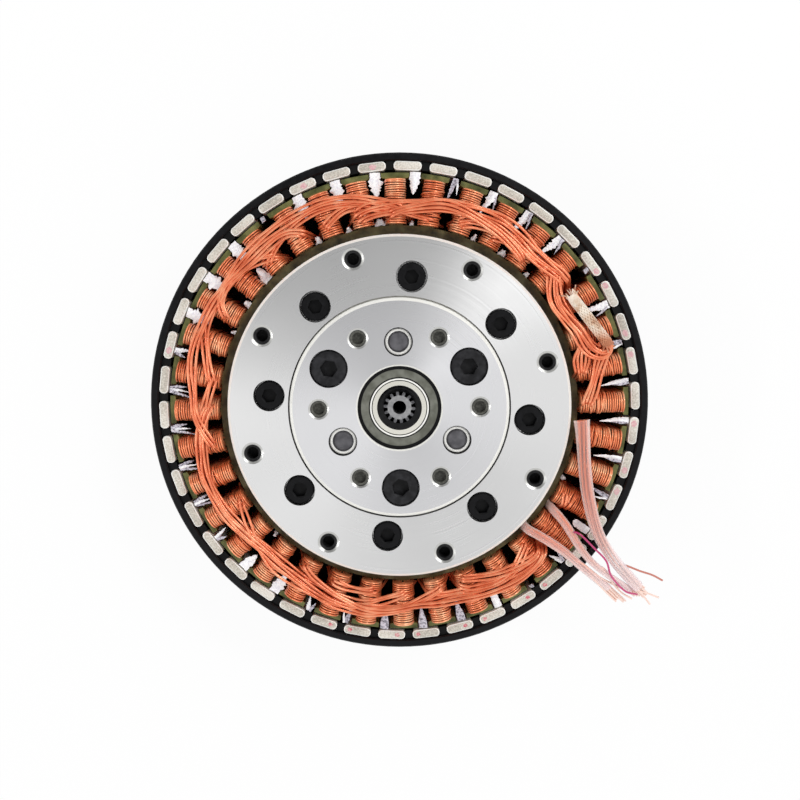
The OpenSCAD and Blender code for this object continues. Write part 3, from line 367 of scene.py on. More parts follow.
def braid_yarn(name):
    """Glass yarn of the star point's sleeve: cream and silky, brown with varnish at its lower end."""
    made, tree, place = new_material(name)
    fuzz = add(tree, "TexNoise", {"Vector": place, "Scale": 1 / (2.2 * MM), "Detail": 5})
    clean = add(tree, "ValToRGB", {0: fuzz}, stops=((0.32, "#c0906f"), (0.43, "#e6c9ae"), (0.56, "#f8ebdb")))
    soaked = add(tree, "ValToRGB", {0: fuzz}, stops=((0.35, "#b5663c"), (0.6, "#e3a27c")))
    along = add(tree, "SeparateXYZ", {0: place}, "Y")
    dry = add(tree, "MapRange", {"Value": along, "From Min": 13 * MM, "From Max": 15.4 * MM})
    plaits = add(tree, "TexNoise", {"Vector": place, "Scale": 1 / (1.1 * MM), "Detail": 3})
    return shaded(made, {
        "Base Color": add(tree, "MixRGB", {0: dry, 1: soaked, 2: clean}),
        "Metallic": 0.0,
        "Roughness": 0.5,
        "Normal": add(tree, "Bump", {"Height": plaits, "Distance": 0.09 * MM}),
        "Sheen Weight": 0.3,
    })


# The finish of each material slot
FINISHES = {
    "cover_aluminium": turned_metal("turned aluminium, cover", "#e0e0e0", 0.35 * MM, 0.3, 0.75, COVER_HOLES_R,
                                    COVER_FACE),
    "flange_aluminium": turned_metal("turned aluminium, output flange", "#dedee0", 0.3 * MM, 0.3, 0.65,
                                     OUTPUT_HOLES_R, OUTPUT_FACE),
    "housing_aluminium": turned_metal("turned aluminium, housing", "#c9ccd0", 0.4 * MM, 0.36, 0.4),
    "bell_aluminium": black_oxide("black hard anodising, bell", "#101013", 0.48),
    "ring_steel": black_oxide("black e-coat, rotor ring", "#0c0c0e", 0.4, "#131316"),
    "magnet_strip": black_oxide("black moulded strip", "#09090a", 0.55, "#111113"),
    "black_screw": black_oxide("black oxide screws", "#08080a", 0.4, "#111114"),
    "black_steel": black_oxide("blackened steel", "#121214", 0.4),
    "race_steel": cut_metal("ground bearing steel", "#e6e4da", 0.22),
    "ball_steel": cut_metal("polished bearing balls", "#dcdcde", 0.08, 0.0005 * MM),
    "shield_steel": cut_metal("pressed bearing shield", "#a7a8ab", 0.42),
    "spring_steel": cut_metal("spring steel", "#8d8e92", 0.35),
    "gear_steel": cut_metal("hobbed gear steel", "#8f9094", 0.38),
    "carrier_steel": cut_metal("turned steel, carrier", "#a2a4a8", 0.34),
    "magnet": sintered_magnet("sintered magnets"),
    "lamination": coated_laminations("epoxy coated laminations"),
    "copper_wire": enamelled_copper("enamelled copper wire", "#de6f3e", "#fb9663", "#ffc092"),
    "slot_paper": slot_paper("slot paper", "#e8e5ee", "#ffffff", 0.4),
    "braided_sleeve": braid_yarn("glass yarn braid"),
    "lead_sleeve": clear_sleeve("clear lead sleeve"),
    "bronze": bronze("sintered bronze"),
}
# Finishes of single pieces
SHADED_COPPER = shaded_copper("enamelled copper, lower layers")
LINK_COPPER = enamelled_copper("enamelled copper links", "#dd6b3f", "#f08558", "#fca77c")
LEAD_STRAND = lead_strand("lead strands", "#f07d42", "#fbdccf")
DARK_STRAND = lead_strand("magenta enamelled lead strand", "#a81f5a", "#c8487c")
RED_STRAND = lead_strand("red-brown lead strand", "#b5543c", "#c97a6a")
GREY_PAPER = slot_paper("slot film, grey side", "#5d5963", "#d2cdd8", 0.2)
# Painted highlight along the magnets' edge bevels
MAGNET_EDGE_HIGHLIGHT = painted_highlight("magnet edge, painted highlight")
MARK_PAINT = marking_paint("marking paint", "#c9405a")
FAINT_PAINT = marking_paint("faded marking paint", "#d6a0a8")
# Painted highlight on the bright rings at the centre seal and in the planet pins' seats
RING_HIGHLIGHT = painted_highlight("rings, painted highlight")
WORN_SCREW = black_oxide("worn black oxide screws", "#1b1b1d", 0.4, "#343437")
# Painted shade in the tapped holes: near black in the cover's, dark grey in the output flange's
THREAD_SHADE = shaded_thread("thread in painted shade", "#121213", "#2a2a2b")
THREAD_LIGHTER_SHADE = shaded_thread("thread in lighter painted shade", "#4a4a45", "#6b6b64")
# Near black: black rubber and oiled parts, and also the painted shade on the planet pins' recess walls
BLACK_RUBBER_AND_SHADE = black_oxide("oil black bearing rim and painted shade", "#050506", 0.5, "#0c0c0d")
BLACK_SLEEVE = black_oxide("glossy black sleeve", "#0a0a0b", 0.12)
# Nodes with a finish of their own
NODE_FINISHES = {
    "centre_bearing_outer": BLACK_RUBBER_AND_SHADE,
    "centre_bearing_shield": phosphated("phosphated bearing shield", "#5c5d53", "#7a7b72"),
    "planet_pins": phosphated("dark ground pin ends", "#4c4b4f", "#68676b"),
    "support_sleeve": BLACK_SLEEVE,
    "sun_shaft": shaft_end("hobbed sun shaft"),
}


def dress_nodes():
    """Gives each CAD node its own finish, or else the one of its slot in the record."""
    for row in frame["record"]["subparts"]:
        piece = NODES[row["node"]]
        piece.data.materials.clear()
        piece.data.materials.append(NODE_FINISHES.get(row["node"], FINISHES[row["material_slot"]]))
        for face in piece.data.polygons:
            face.material_index = 0


# Pieces: how a new one is made and finished, and how what repeats is copied

def pick(*pieces):
    """Selects these pieces alone and makes the first one active."""
    bpy.ops.object.select_all(action="DESELECT")
    for piece in pieces:
        piece.select_set(True)
    bpy.context.view_layer.objects.active = pieces[0]


def settle(piece, name, body, slot, *finishes, stands_for=()):
    """Names a piece, gives it its finishes (the slot's own if none is named) and joins it to its body."""
    piece.name = name
    piece.data.name = name
    for finish in finishes or (FINISHES[slot],):
        piece.data.materials.append(finish)
    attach(piece, body)
    if stands_for:
        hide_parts(*stands_for)


def new_piece(data):
    """A piece at the origin that holds a mesh or curve."""
    piece = bpy.data.objects.new(data.name, data)
    bpy.context.scene.collection.objects.link(piece)
    return piece


def from_shape(shape):
    """A piece that holds what a bmesh holds; the bmesh is freed."""
    mesh = bpy.data.meshes.new("piece")
    shape.to_mesh(mesh)
    shape.free()
    return new_piece(mesh)


def from_rows(rows, close_round=False):
    """A sheet of faces through rows of points; close_round joins each row's last point to its first."""
    shape = bmesh.new()
    made = [[shape.verts.new(point) for point in row] for row in rows]
    for low, high in zip(made, made[1:]):
        wide = len(low)
        for j in range(wide if close_round else wide - 1):
            k = (j + 1) % wide
            shape.faces.new((low[j], low[k], high[k], high[j]))
    return from_shape(shape)


def copies(source, places, keep=False):
    """One piece with a copy of source at each place, which is a matrix; the source goes unless it is kept."""
    whole = bmesh.new()
    for place in places:
        part = source.data.copy()
        part.transform(place)
        whole.from_mesh(part)
        bpy.data.meshes.remove(part)
    if not keep:
        bpy.data.objects.remove(source)
    return from_shape(whole)


def gather(pieces):
    """Joins pieces into one."""
    pick(*pieces)
    bpy.ops.object.join()
    return pieces[0]


def smooth_shade(piece, degrees):
    pick(piece)
    bpy.ops.object.shade_smooth_by_angle(angle=math.radians(degrees))


def primitive(kind, at=(0, 0, 0), **sizes):
    """Adds a mesh primitive with nothing else selected, and applies its place and scale."""
    bpy.ops.object.select_all(action="DESELECT")
    getattr(bpy.ops.mesh, f"primitive_{kind}_add")(location=at, **sizes)
    bpy.ops.object.transform_apply(location=True, rotation=True, scale=True)
    return bpy.context.object


def modify(piece, kind, **settings):
    """Adds a modifier and applies it."""
    pick(piece)
    modifier = piece.modifiers.new(kind, kind)
    for name, value in settings.items():
        setattr(modifier, name, value)
    bpy.ops.object.modifier_apply(modifier=modifier.name)


@contextmanager
def editing(piece, kind="EDGE", wanted=lambda item: True):
    """Edit mode on a piece, with only the wanted faces or edges selected."""
    pick(piece)
    bpy.ops.object.mode_set(mode="EDIT")
    bpy.ops.mesh.select_mode(type=kind)
    bpy.ops.mesh.select_all(action="DESELECT")
    shape = bmesh.from_edit_mesh(piece.data)
    for item in (shape.faces if kind == "FACE" else shape.edges):
        item.select_set(wanted(item))
    bmesh.update_edit_mesh(piece.data)
    yield
    bpy.ops.object.mode_set(mode="OBJECT")


def is_level(edge):
    """Whether both ends of an edge lie at the same height."""
    return abs(edge.verts[0].co.z - edge.verts[1].co.z) < 0.01 * MM


def turned(angle):
    return Matrix.Rotation(angle, 4, "Z")


def moved(x=0, y=0, z=0):
    return Matrix.Translation((x, y, z))


def around(count, first, r, z=0, spin=0.0):
    """Places on a circle round the axis from first, in degrees; each is spun on further than the last."""
    step = 360 / count
    return [turned(math.radians(first + step * k)) @ moved(x=r, z=z) @ turned(spin * k) for k in range(count)]


def polar(angle, r, z):
    return Vector((r * math.cos(angle), r * math.sin(angle), z))


def circle(r, z, sides):
    return [polar(TURN * j / sides, r, z) for j in range(sides)]


# Lines: wires, strands and sleeves follow them

def ease(t):
    """A smooth step from 0 to 1."""
    t = min(max(t, 0), 1)
    return t * t * (3 - 2 * t)


def through(points, steps):
    """Points along a smooth curve through the given ones, steps for each stretch."""
    ends = [2 * points[0] - points[1], *points, 2 * points[-1] - points[-2]]
    found = []
    for a, b, c, d in zip(ends, ends[1:], ends[2:], ends[3:]):
        for k in range(steps):
            t = k / steps
            found.append(0.5 * (2 * b + (c - a) * t + (2 * a - 5 * b + 4 * c - d) * t * t
                                + (3 * b - a - 3 * c + d) * t * t * t))
    found.append(points[-1])
    return found


def distances(line):
    """How far along a line each of its points lies."""
    return list(accumulate(((b - a).length for a, b in zip(line, line[1:])), initial=0.0))


def headings(line):
    """The way in which a line runs at each of its points."""
    return [(after - before).normalized()
            for before, after in zip([line[0], *line], [*line[1:], line[-1]])]


def across(line):
    """For each point of a line, it and two directions across the line that turn as little as they can."""
    frames = []
    side = None
    for at, way in zip(line, headings(line)):
        if side is None:
            side = way.cross(UP if abs(way.z) < 0.9 else Vector((1, 0, 0))).normalized()
        side = (side - way * side.dot(way)).normalized()
        frames.append((at, side, way.cross(side)))
    return frames


def beside(line, wide, thick, turn, twist=0.0, swell=lambda t: 1.0):
    """A line that keeps to a flattened tube round another one, from the angle turn on.

    wide and thick are the tube's half sizes, twist is the turns it makes, and swell widens it on the way.
    """
    made = []
    for k, (at, side, over) in enumerate(across(line)):
        t = k / (len(line) - 1)
        angle = turn + TURN * twist * t
        made.append(at + swell(t) * (wide * math.cos(angle) * side + thick * math.sin(angle) * over))
    return made


def strands(lines, radius, resolution=2):
    """Round wires along lines of points, as one mesh."""
    curve = bpy.data.curves.new("strands", "CURVE")
    curve.dimensions = "3D"
    curve.bevel_depth = radius
    curve.bevel_resolution = resolution
    curve.use_fill_caps = True
    for line in lines:
        spline = curve.splines.new("POLY")
        spline.points.add(len(line) - 1)
        for point, at in zip(spline.points, line):
            point.co = (*at, 1)
        spline.use_smooth = True
    pick(new_piece(curve))
    bpy.ops.object.convert(target="MESH")
    return bpy.context.object


# Leads: each is a bundle of strands in a clear sleeve; they end bare beyond the rotor's rim

LEAD_A_ROUTE = (
    (34.9, -2.4, 27.8), (35.1, -4.4, 27.8), (35.3, -7.2, 27.8), (35.5, -10, 27.8), (35.8, -13, 27.8),
    (36.2, -16, 27.8), (36.8, -19, 27.8), (37.6, -22, 27.7), (38.7, -25, 27.5), (40.2, -27.7, 27.1),
    (41.8, -30, 26.5), (43.6, -32.2, 25.7), (45.5, -34.3, 24.7), (47.4, -36.3, 23.5), (49.3, -38.2, 22.1),
)
LEAD_B_ROUTE = (
    (29.5, -19.8, 22.2), (29.6, -19.9, 24), (30, -20.3, 25.7), (30.9, -21.2, 27), (32.1, -22.7, 27.6),
    (33.3, -24.6, 27.7), (34.5, -26.6, 27.6), (35.9, -28.6, 27.4), (37.6, -30.5, 27), (39.4, -32.1, 26.4),
    (41.3, -33.6, 25.6), (43.2, -35, 24.6), (45, -36.4, 23.4), (46.6, -37.8, 22), (47.7, -38.8, 20.8),
)
LEAD_C_ROUTE = (
    (24.4, -23.5, 23.5), (24.5, -23.6, 25.1), (25.1, -24, 26.6), (26.6, -24.7, 27.6), (28.3, -25.7, 27.8),
    (30, -26.8, 27.7), (31.7, -28, 27.6), (33.4, -29.4, 27.3), (35.1, -30.9, 26.9), (36.8, -32.4, 26.4),
    (38.5, -33.9, 25.7), (40.2, -35.4, 24.8), (41.8, -36.9, 23.7), (43.3, -38.4, 22.4), (45, -40.1, 20.7),
)

LEAD_WIRE_R = 0.2 * MM
STRANDS_ROUND = 6


def sleeve(line, wide, thick, wall=0.1 * MM, sides=24):
    """An open flattened tube along a line, flared at its start, with a thin wall and soft folds along it."""
    def folds(t, angle):
        mouth = 1 + 0.22 * math.exp(-t * 9) - 0.1 * ease((t - 0.1) / 0.8)
        return mouth * (1 + 0.05 * math.sin(3 * angle + 5 * t) + 0.04 * math.sin(5 * angle - 9 * t))

    angles = [TURN * j / sides for j in range(sides)]
    lines = [beside(line, wide, thick, angle, swell=lambda t: folds(t, angle)) for angle in angles]
    piece = from_rows(zip(*lines), close_round=True)
    modify(piece, "SOLIDIFY", thickness=wall, offset=-1)
    smooth_shade(piece, 60)
    return piece


def lead(name, route, diameter, sleeve_part, tails):
    """A lead: strands along the route, the sleeve round the first part, and tails that splay at its end."""
    line = through([Vector(point) * MM for point in route], 5)
    wide, thick = diameter * 0.66, diameter * 0.4
    draw = random.Random(name)
    bundle = []
    for k in range(STRANDS_ROUND):
        strand = beside(line, (wide - LEAD_WIRE_R) * 0.72, (thick - LEAD_WIRE_R) * 0.7,
                        TURN * k / STRANDS_ROUND + 0.2, twist=0.3)
        bundle.append(strand[:len(strand) - draw.randint(0, 4)])
    bundle.append(beside(line, 0.05 * MM, 0.05 * MM, 0))
    core = strands(bundle, LEAD_WIRE_R)
    settle(core, name, "stator", "lead_sleeve", LEAD_STRAND, stands_for=[name])
    cover = sleeve(line[:int(len(line) * sleeve_part)], wide, thick)
    settle(cover, name + "_sleeve", "stator", "lead_sleeve")
    for k, (part, points, finish) in enumerate(tails):
        end = through([line[int(len(line) * part)], *(Vector(point) * MM for point in points)], 8)
        tail = strands([end], LEAD_WIRE_R)
        settle(tail, f"{name}_end_{k + 1}", "stator", "lead_sleeve", finish)


def leads():
    """The three leads; a tail gives the share of the lead at which it leaves, its route and its finish."""
    lead("lead_a", LEAD_A_ROUTE, 1.9 * MM, 0.93, (
        (0.76, ((44.2, -31.3, 25.6), (47.4, -32.7, 24.7), (50.1, -33.8, 23.6), (52.4, -35.2, 22.4)),
         RED_STRAND),
        (0.8, ((45.9, -35.3, 24.4), (48.4, -38, 22.8), (50.3, -40.4, 21.2)), LEAD_STRAND),
        (0.84, ((47.1, -36.7, 23.6), (49.8, -37.9, 22.6), (52, -39, 21.4)), LEAD_STRAND),
    ))
    lead("lead_b", LEAD_B_ROUTE, 1.5 * MM, 0.9, (
        (0.34, ((34.6, -24.3, 28.9), (37.5, -27.1, 28.8), (40, -29.8, 28.2), (41.3, -33.1, 27),
                (44.4, -36.6, 25), (47.3, -37.9, 23)), DARK_STRAND),
        (0.62, ((39.8, -31.6, 26.9), (41.9, -34.9, 25.2), (44.1, -37.4, 23.6), (46.4, -39, 22.1)),
         LEAD_STRAND),
    ))
    lead("lead_c", LEAD_C_ROUTE, 1.5 * MM, 0.84, (
        (0.5, ((35.6, -30.6, 27.3), (38.8, -33.3, 26.1), (41.3, -34.9, 25), (43.9, -36.4, 23.6)),
         LEAD_STRAND),
        (0.66, ((38.4, -34.3, 25.9), (41, -37.2, 24), (43.3, -39.6, 22)), LEAD_STRAND),
    ))


# Winding: turns of enamelled wire round every tooth

PHASES = "abc"
WIRE_R = 0.168 * MM
TURNS = 20
LOWER_LAYERS = 5
COIL_VARIANTS = 5
# The crown of a coil starts this far beyond the laminations
CROWN_UP = 1.4 * MM


def round_tooth(outline, crown_steps):
    """Sweeps an outline up one leg of a coil, over the crown, down the other leg and back."""
    low, high = STACK_LOW - CROWN_UP, STACK_HIGH + CROWN_UP
    with editing(outline):
        for move, centre in ((high - low, high), (low - high, low)):
            bpy.ops.mesh.extrude_region_move(TRANSFORM_OT_translate={"value": (0, 0, move)})
            bpy.ops.mesh.spin(steps=crown_steps, angle=math.pi, center=(0, 0, centre), axis=(-1, 0, 0))
        bpy.ops.mesh.select_all(action="SELECT")
        bpy.ops.mesh.remove_doubles(threshold=0.01 * MM)
        bpy.ops.mesh.normals_make_consistent(inside=False)
    return outline


def wire_turn(half):
    """One turn of wire round a tooth that points along X, half its width off the middle."""
    return round_tooth(primitive("circle", (0, half, STACK_LOW - CROWN_UP), vertices=8, radius=WIRE_R), 9)


def coil_core():
    """The lower layers of a coil, as one closed band inside the turns."""
    half = COIL_HALF - 2.6 * WIRE_R
    thick = 0.8 * MM
    long = COIL_OUT - COIL_IN - 3 * WIRE_R
    band = primitive("plane", size=1)
    band.data.transform(Matrix.Diagonal((long, thick, 1, 1)))
    band.data.transform(moved(y=half - thick / 2, z=STACK_LOW - CROWN_UP))
    with editing(band, "FACE"):
        bpy.ops.mesh.delete(type="ONLY_FACE")
    return round_tooth(band, 8)


def turn_places(draw):
    """Where the turns of one coil lie: side by side, each leaning its own way, with a few crossing on top."""
    middle_z = (STACK_LOW + STACK_HIGH) / 2

    def leaning(x, lean, wide, tall):
        """A place out along the tooth, with the turn sheared and stretched."""
        shear = Matrix.Identity(4)
        shear[0][1] = lean
        grown = moved(z=middle_z) @ Matrix.Diagonal((1, wide, tall, 1)) @ moved(z=-middle_z)
        return moved(x=x) @ shear @ grown

    pitch = (COIL_OUT - COIL_IN - 2 * WIRE_R) / (TURNS - 1)
    lean = draw.uniform(-0.04, 0.04)
    places = []
    for k in range(TURNS):
        x = COIL_IN + WIRE_R + k * pitch + draw.uniform(-0.05, 0.05) * MM
        own_lean = lean + draw.uniform(-0.03, 0.03)
        grow = 1 + draw.uniform(-0.012, 0.02)
        places.append(leaning(x, own_lean, grow, 1 + (grow - 1) * 0.2))
    # Turns that cross the others on top
    for _ in range(draw.choice((2, 3, 4))):
        x = draw.uniform(COIL_IN + 1.2 * MM, COIL_OUT - 1.2 * MM)
        places.append(leaning(x, draw.uniform(-0.28, 0.28), 1.1, 1.018))
    return places


def windings():
    """The coils: outer turns, the lower turns that show at both ends, and a core that fills them."""
    draw = random.Random(7)
    turn = wire_turn(COIL_HALF - WIRE_R)
    core = coil_core()
    both_ends = [moved(x=COIL_IN + WIRE_R), moved(x=COIL_OUT - WIRE_R)]
    ends = gather([copies(wire_turn(COIL_HALF - WIRE_R * (1 + 1.9 * layer)), both_ends)
                   for layer in range(1, LOWER_LAYERS + 1)])
    coils = [gather([copies(turn, turn_places(draw), keep=True), copies(ends, [moved()], keep=True)])
             for _ in range(COIL_VARIANTS)]
    middle = moved(x=(COIL_IN + COIL_OUT) / 2)
    for phase, letter in enumerate(PHASES):
        teeth = {k: turned(TOOTH_ANGLE + SLOT_STEP * k) for k in range(phase, SLOTS, len(PHASES))}
        turns = gather([copies(coils[(k * 7 + k // 5) % COIL_VARIANTS], [place], keep=True)
                        for k, place in teeth.items()])
        smooth_shade(turns, 50)
        settle(turns, "wire_turns_" + letter, "stator", "copper_wire", stands_for=["coils_" + letter])
        lower = copies(core, [place @ middle for place in teeth.values()], keep=True)
        smooth_shade(lower, 50)
        settle(lower, "coil_core_" + letter, "stator", "copper_wire", SHADED_COPPER)
    for spare in (turn, core, ends, *coils):
        bpy.data.objects.remove(spare)


# Link wires: ribbons of strands leave one slot, swing out over the coils and dive into another slot

STRAND_R = 0.28 * MM
STRAND_PITCH = 0.61 * MM
LAYER = 0.44 * MM
# Each ribbon: phase, strands, layer, then its route over the coils as (degrees, millimetres from the axis)
RIBBONS = (
    ("a", 3, 1, ((156, 35.3), (152.5, 37.2), (149, 39.4), (142, 40.5), (134, 41), (126, 41.2),
        (117, 41.3), (110, 41.3), (103, 40.6), (97, 39.3), (90, 37.7), (86, 35.2))),
    ("b", 3, 0, ((176, 35.2), (170, 37), (163, 38.6), (157, 40.1), (150, 40.3), (142, 40.2), (136, 39.4),
        (130, 37.3), (126, 35.2))),
    ("c", 3, 1.3, ((196, 35.3), (190, 37.1), (183, 38.9), (176, 39.6), (168, 40.5), (160, 40.7),
        (152, 40.6), (144, 39.9), (134, 39.3), (124, 39.2), (119, 37.6), (116, 35.3))),
    ("a", 3, 0, ((166, 35.3), (172, 36.1), (180, 37.2), (187, 38.2), (194, 39), (201, 39.6), (208, 39.4),
        (215, 38.7), (222, 38.1), (230, 37.9), (238, 38.3), (245, 38.7), (252, 39.3), (258, 39.4),
        (264, 38.4), (271, 36.8), (276, 35.2))),
    ("b", 3, 1, ((176, 35.4), (181, 37), (186.6, 38.4), (192, 39.2), (198, 40), (203, 40), (208.7, 39.9),
        (215, 39.7), (220.5, 39), (227, 38.5), (234, 38.8), (241, 39.3), (247, 40), (253, 40.7),
        (260, 40.9), (267, 40.1), (275, 38.5), (282, 36.6), (286, 35.2))),
    ("c", 2, 0.4, ((206, 35.2), (211, 35.7), (218, 37.2), (225, 38.8), (232, 40), (240, 40.3),
        (247, 40.6), (254, 40.3), (262, 39.6), (270, 39.2), (277, 39), (283, 38.6), (289, 38.8),
        (296, 40), (302, 40.3), (308, 40.5), (313, 40), (317, 37.6))),
    ("a", 2, 1.4, ((236, 35), (240, 36.2), (243, 37), (248, 38), (253.5, 39.2), (259, 40), (266, 39.9),
        (273, 39.3), (280, 39.3), (288, 39.6), (295, 40.6), (301, 40.9), (307, 41), (313, 40.6), (318, 39))),
    ("b", 3, 0.2, ((246, 35.2), (249, 36.2), (252.5, 36.7), (256, 36.8), (260.5, 36.5), (264, 35.8),
        (266, 34.8))),
    ("c", 3, 0.6, ((286, 34.9), (289.5, 35.6), (293, 36.4), (297, 37.2), (302, 38), (306, 38.6),
        (310.5, 39.2), (314, 38.9), (316.5, 37))),
    ("a", 2, 0.1, ((276, 35.3), (279, 36.9), (283, 37.7), (288, 37.9), (293, 38.2), (299, 38.9),
        (305, 39.4), (311, 39.2), (316, 37.4))),
    ("a", 5, 1.1, ((106, 35.3), (101, 37), (96, 37.7), (90, 38), (84, 38.3), (79, 38.8), (73, 39.4),
        (67, 39.7), (61, 39.8), (55, 39.4), (49, 38.8), (44, 38.9), (39.5, 39.4), (35.5, 39.6), (33, 38.9))),
    ("b", 4, 0.2, ((76, 35.2), (73, 36.4), (69, 37.6), (64, 38.2), (58, 38.4), (52, 38.4), (46, 38.6),
        (41, 39), (36.5, 39.2), (33.5, 38.7))),
    ("c", 3, 2, ((96, 35.2), (91, 37), (85, 38.3), (78, 39.2), (70, 38.9), (62, 38.2), (56, 37.2),
        (50, 36.2), (46, 35.1))),
    ("b", 3, 0.3, ((116, 35.3), (111, 37.3), (105, 38.8), (99, 38.5), (92, 37.2), (86, 35.3))),
    ("c", 2, 0.1, ((136, 35.3), (131, 37.2), (125, 38.8), (117, 40), (109, 39.9), (101, 39.2), (94, 37.9),
        (87, 36.6), (81, 36), (76, 35.2))),
    ("a", 2, 0.8, ((66, 35.2), (61.5, 36.5), (56, 37.6), (50, 38), (45, 37.8), (41, 37.4), (38.2, 36.8))),
    ("b", 3, 0, ((336, 35.6), (332.5, 36.5), (329.5, 37.2), (327, 37.6), (325.5, 37.2))),
    ("c", 3, 0.3, ((316, 35), (312.5, 36.4), (309, 37.6), (306, 38.5), (302, 39.2), (297, 39.3),
        (291, 38.4), (287, 36.6), (286, 35.4))),
)
# Strands beside the star point: they come round from the bundle, turn back and go into the sleeve's lower end
STAR_LOOP = ((40.5, 38.4), (38, 37.1), (35.5, 36.2), (33, 35.8), (30.5, 35.9), (27, 36.3), (23.7, 36.9),
             (20.5, 37.3), (18, 37.8), (16.2, 38.6), (15.3, 39.7), (15.5, 40.7), (16.8, 41.2), (18.4, 41.1))
# Strands that leave it: their number, their layer and their route
STAR_TAILS = (
    (5, 0.3, ((18.8, 37.2), (15.5, 36.2), (12.5, 35.6), (9.5, 35.3), (6.6, 35.2))),
    (4, 0.8, ((16.5, 40.7), (14.6, 40.1), (12.2, 39.1), (9.9, 38.4), (6, 37.4), (2.2, 36.3), (-1, 35.7),
        (-3.6, 35.2))),
)


def resting_height(angle, layer):
    """Height of a strand's middle over the coils at an angle: it lies on the crowns and dips between them."""
    between = (1 - math.cos(SLOTS * (angle - TOOTH_ANGLE))) / 2
    sag = 0.3 * MM * between * max(1 - layer / 3, 0.2)
    return COIL_TOP + STRAND_R * 0.9 + layer * LAYER - sag


def ribbon(route, count, layer, draw, dives=(True, True)):
    """Strands side by side along a route; at an end that dives they go down into the slot in a stack."""
    flat = through([Vector((degrees, r, 0)) for degrees, r in route], 9)
    middle = [polar(math.radians(point.x), point.y * MM, 0) for point in flat]
    ways = headings(middle)
    run = distances(middle)
    low = STACK_HIGH - 2.5 * MM
    squeeze = draw.uniform(0, TURN)
    lines = []
    for j in range(count):
        lane = j - (count - 1) / 2
        wander = draw.uniform(0.05, 0.2) * MM
        beat = draw.uniform(0, TURN)
        stack = draw.uniform(-0.3, 0.4)
        # Each strand dives a little before or after its neighbours
        cuts = [draw.uniform(0, 1.3) * MM if dive else 0 for dive in dives]
        line = []
        for at, way, gone in zip(middle, ways, run):
            from_ends = (gone - cuts[0], run[-1] - gone - cuts[1])
            if min(from_ends) < 0:
                continue
            near = min([far for far, dive in zip(from_ends, dives) if dive], default=math.inf)
            open_out = ease(near / (4 * MM))
            pinch = 1 + 0.14 * math.sin(TURN * gone / run[-1] * 1.7 + squeeze)
            aside = lane * STRAND_PITCH * pinch * (0.8 + 0.2 * open_out)
            aside += wander * math.sin(TURN * gone / (14 * MM) + beat) * open_out
            place = at + aside * UP.cross(way)
            high = resting_height(math.atan2(place.y, place.x), max(layer + stack * open_out, 0))
            line.append(Vector((place.x, place.y, low + (high - low) * ease(near / (2.6 * MM)))))
        lines.append(line)
    return lines


def links():
    draw = random.Random(11)
    lines = {letter: [] for letter in PHASES}
    for letter, count, layer, route in RIBBONS:
        lines[letter] += ribbon(route, count, layer, draw)
    for letter, made in lines.items():
        settle(strands(made, STRAND_R), "link_strands_" + letter, "stator", "copper_wire", LINK_COPPER,
               stands_for=["phase_link_" + letter])


# Star point: a braided glass sleeve over the joint of the three phases, with strands round it

STAR_LINE = ((33.2, 38.9, 27.8), (31.6, 38.9, 28), (28.8, 39.2, 28.25), (23.6, 39.9, 28.3), (18.8, 41, 28.2),
             (16.9, 41.4, 27.95))
STAR_R = 0.95 * MM
YARN_R = 0.11 * MM
# Yarns that run each way round it, and loose ends at each of its mouths
YARNS = 11
LOOSE_ENDS = 22


def star_sleeve():
    """Yarns plaited both ways round a lining, with their ends frayed."""
    draw = random.Random(5)
    line = through([polar(math.radians(degrees), r * MM, z * MM) for degrees, r, z in STAR_LINE], 14)
    yarns = []
    for hand in (1, -1):
        for j in range(YARNS):
            over_under = math.pi * (j + (hand > 0))
            yarns.append(beside(line, 1, 1, TURN * j / YARNS, twist=hand * 1.6, swell=lambda t: (
                STAR_R - 0.12 * MM * (abs(t - 0.5) * 2) ** 4
                + 0.07 * MM * math.sin(TURN * YARNS * 3.2 * t + over_under))))
    for end, before in ((line[0], line[1]), (line[-1], line[-2])):
        out = (end - before).normalized()
        for _ in range(LOOSE_ENDS):
            spin = draw.uniform(0, TURN)
            aside = out.cross(UP).normalized() * math.cos(spin) + UP * math.sin(spin) * 0.6
            long = draw.uniform(0.6, 2.2) * MM
            begin = end + aside * STAR_R * 0.85 - out * 0.5 * MM
            bend = begin + out * long * 0.5 + aside * draw.uniform(0.1, 0.5) * MM
            stop = bend + out * long * 0.4 + aside * draw.uniform(-0.2, 0.8) * MM
            yarns.append(through([begin, bend, stop - UP * draw.uniform(0, 0.5) * MM], 5))
    lining = strands([line], STAR_R - 0.13 * MM, resolution=4)
    piece = gather([strands(yarns, YARN_R, resolution=1), lining])
    smooth_shade(piece, 60)
    settle(piece, "star_sleeve_braid", "stator", "braided_sleeve", stands_for=["star_point_sleeve"])


def star_strands():
    draw = random.Random(23)
    lines = ribbon(STAR_LOOP, 5, 1.3, draw, (False, False))
    lines += ribbon([(degrees, r + 0.5) for degrees, r in STAR_LOOP[2:-2]], 2, 2.2, draw, (False, False))
    for count, layer, route in STAR_TAILS:
        lines += ribbon(route, count, layer, draw, (False, True))
    settle(strands(lines, STRAND_R), "star_strands", "stator", "copper_wire", LINK_COPPER)


# Slot paper: the ends of the slot wedges, folded over the coils, and scraps of liner at the slots' inner ends

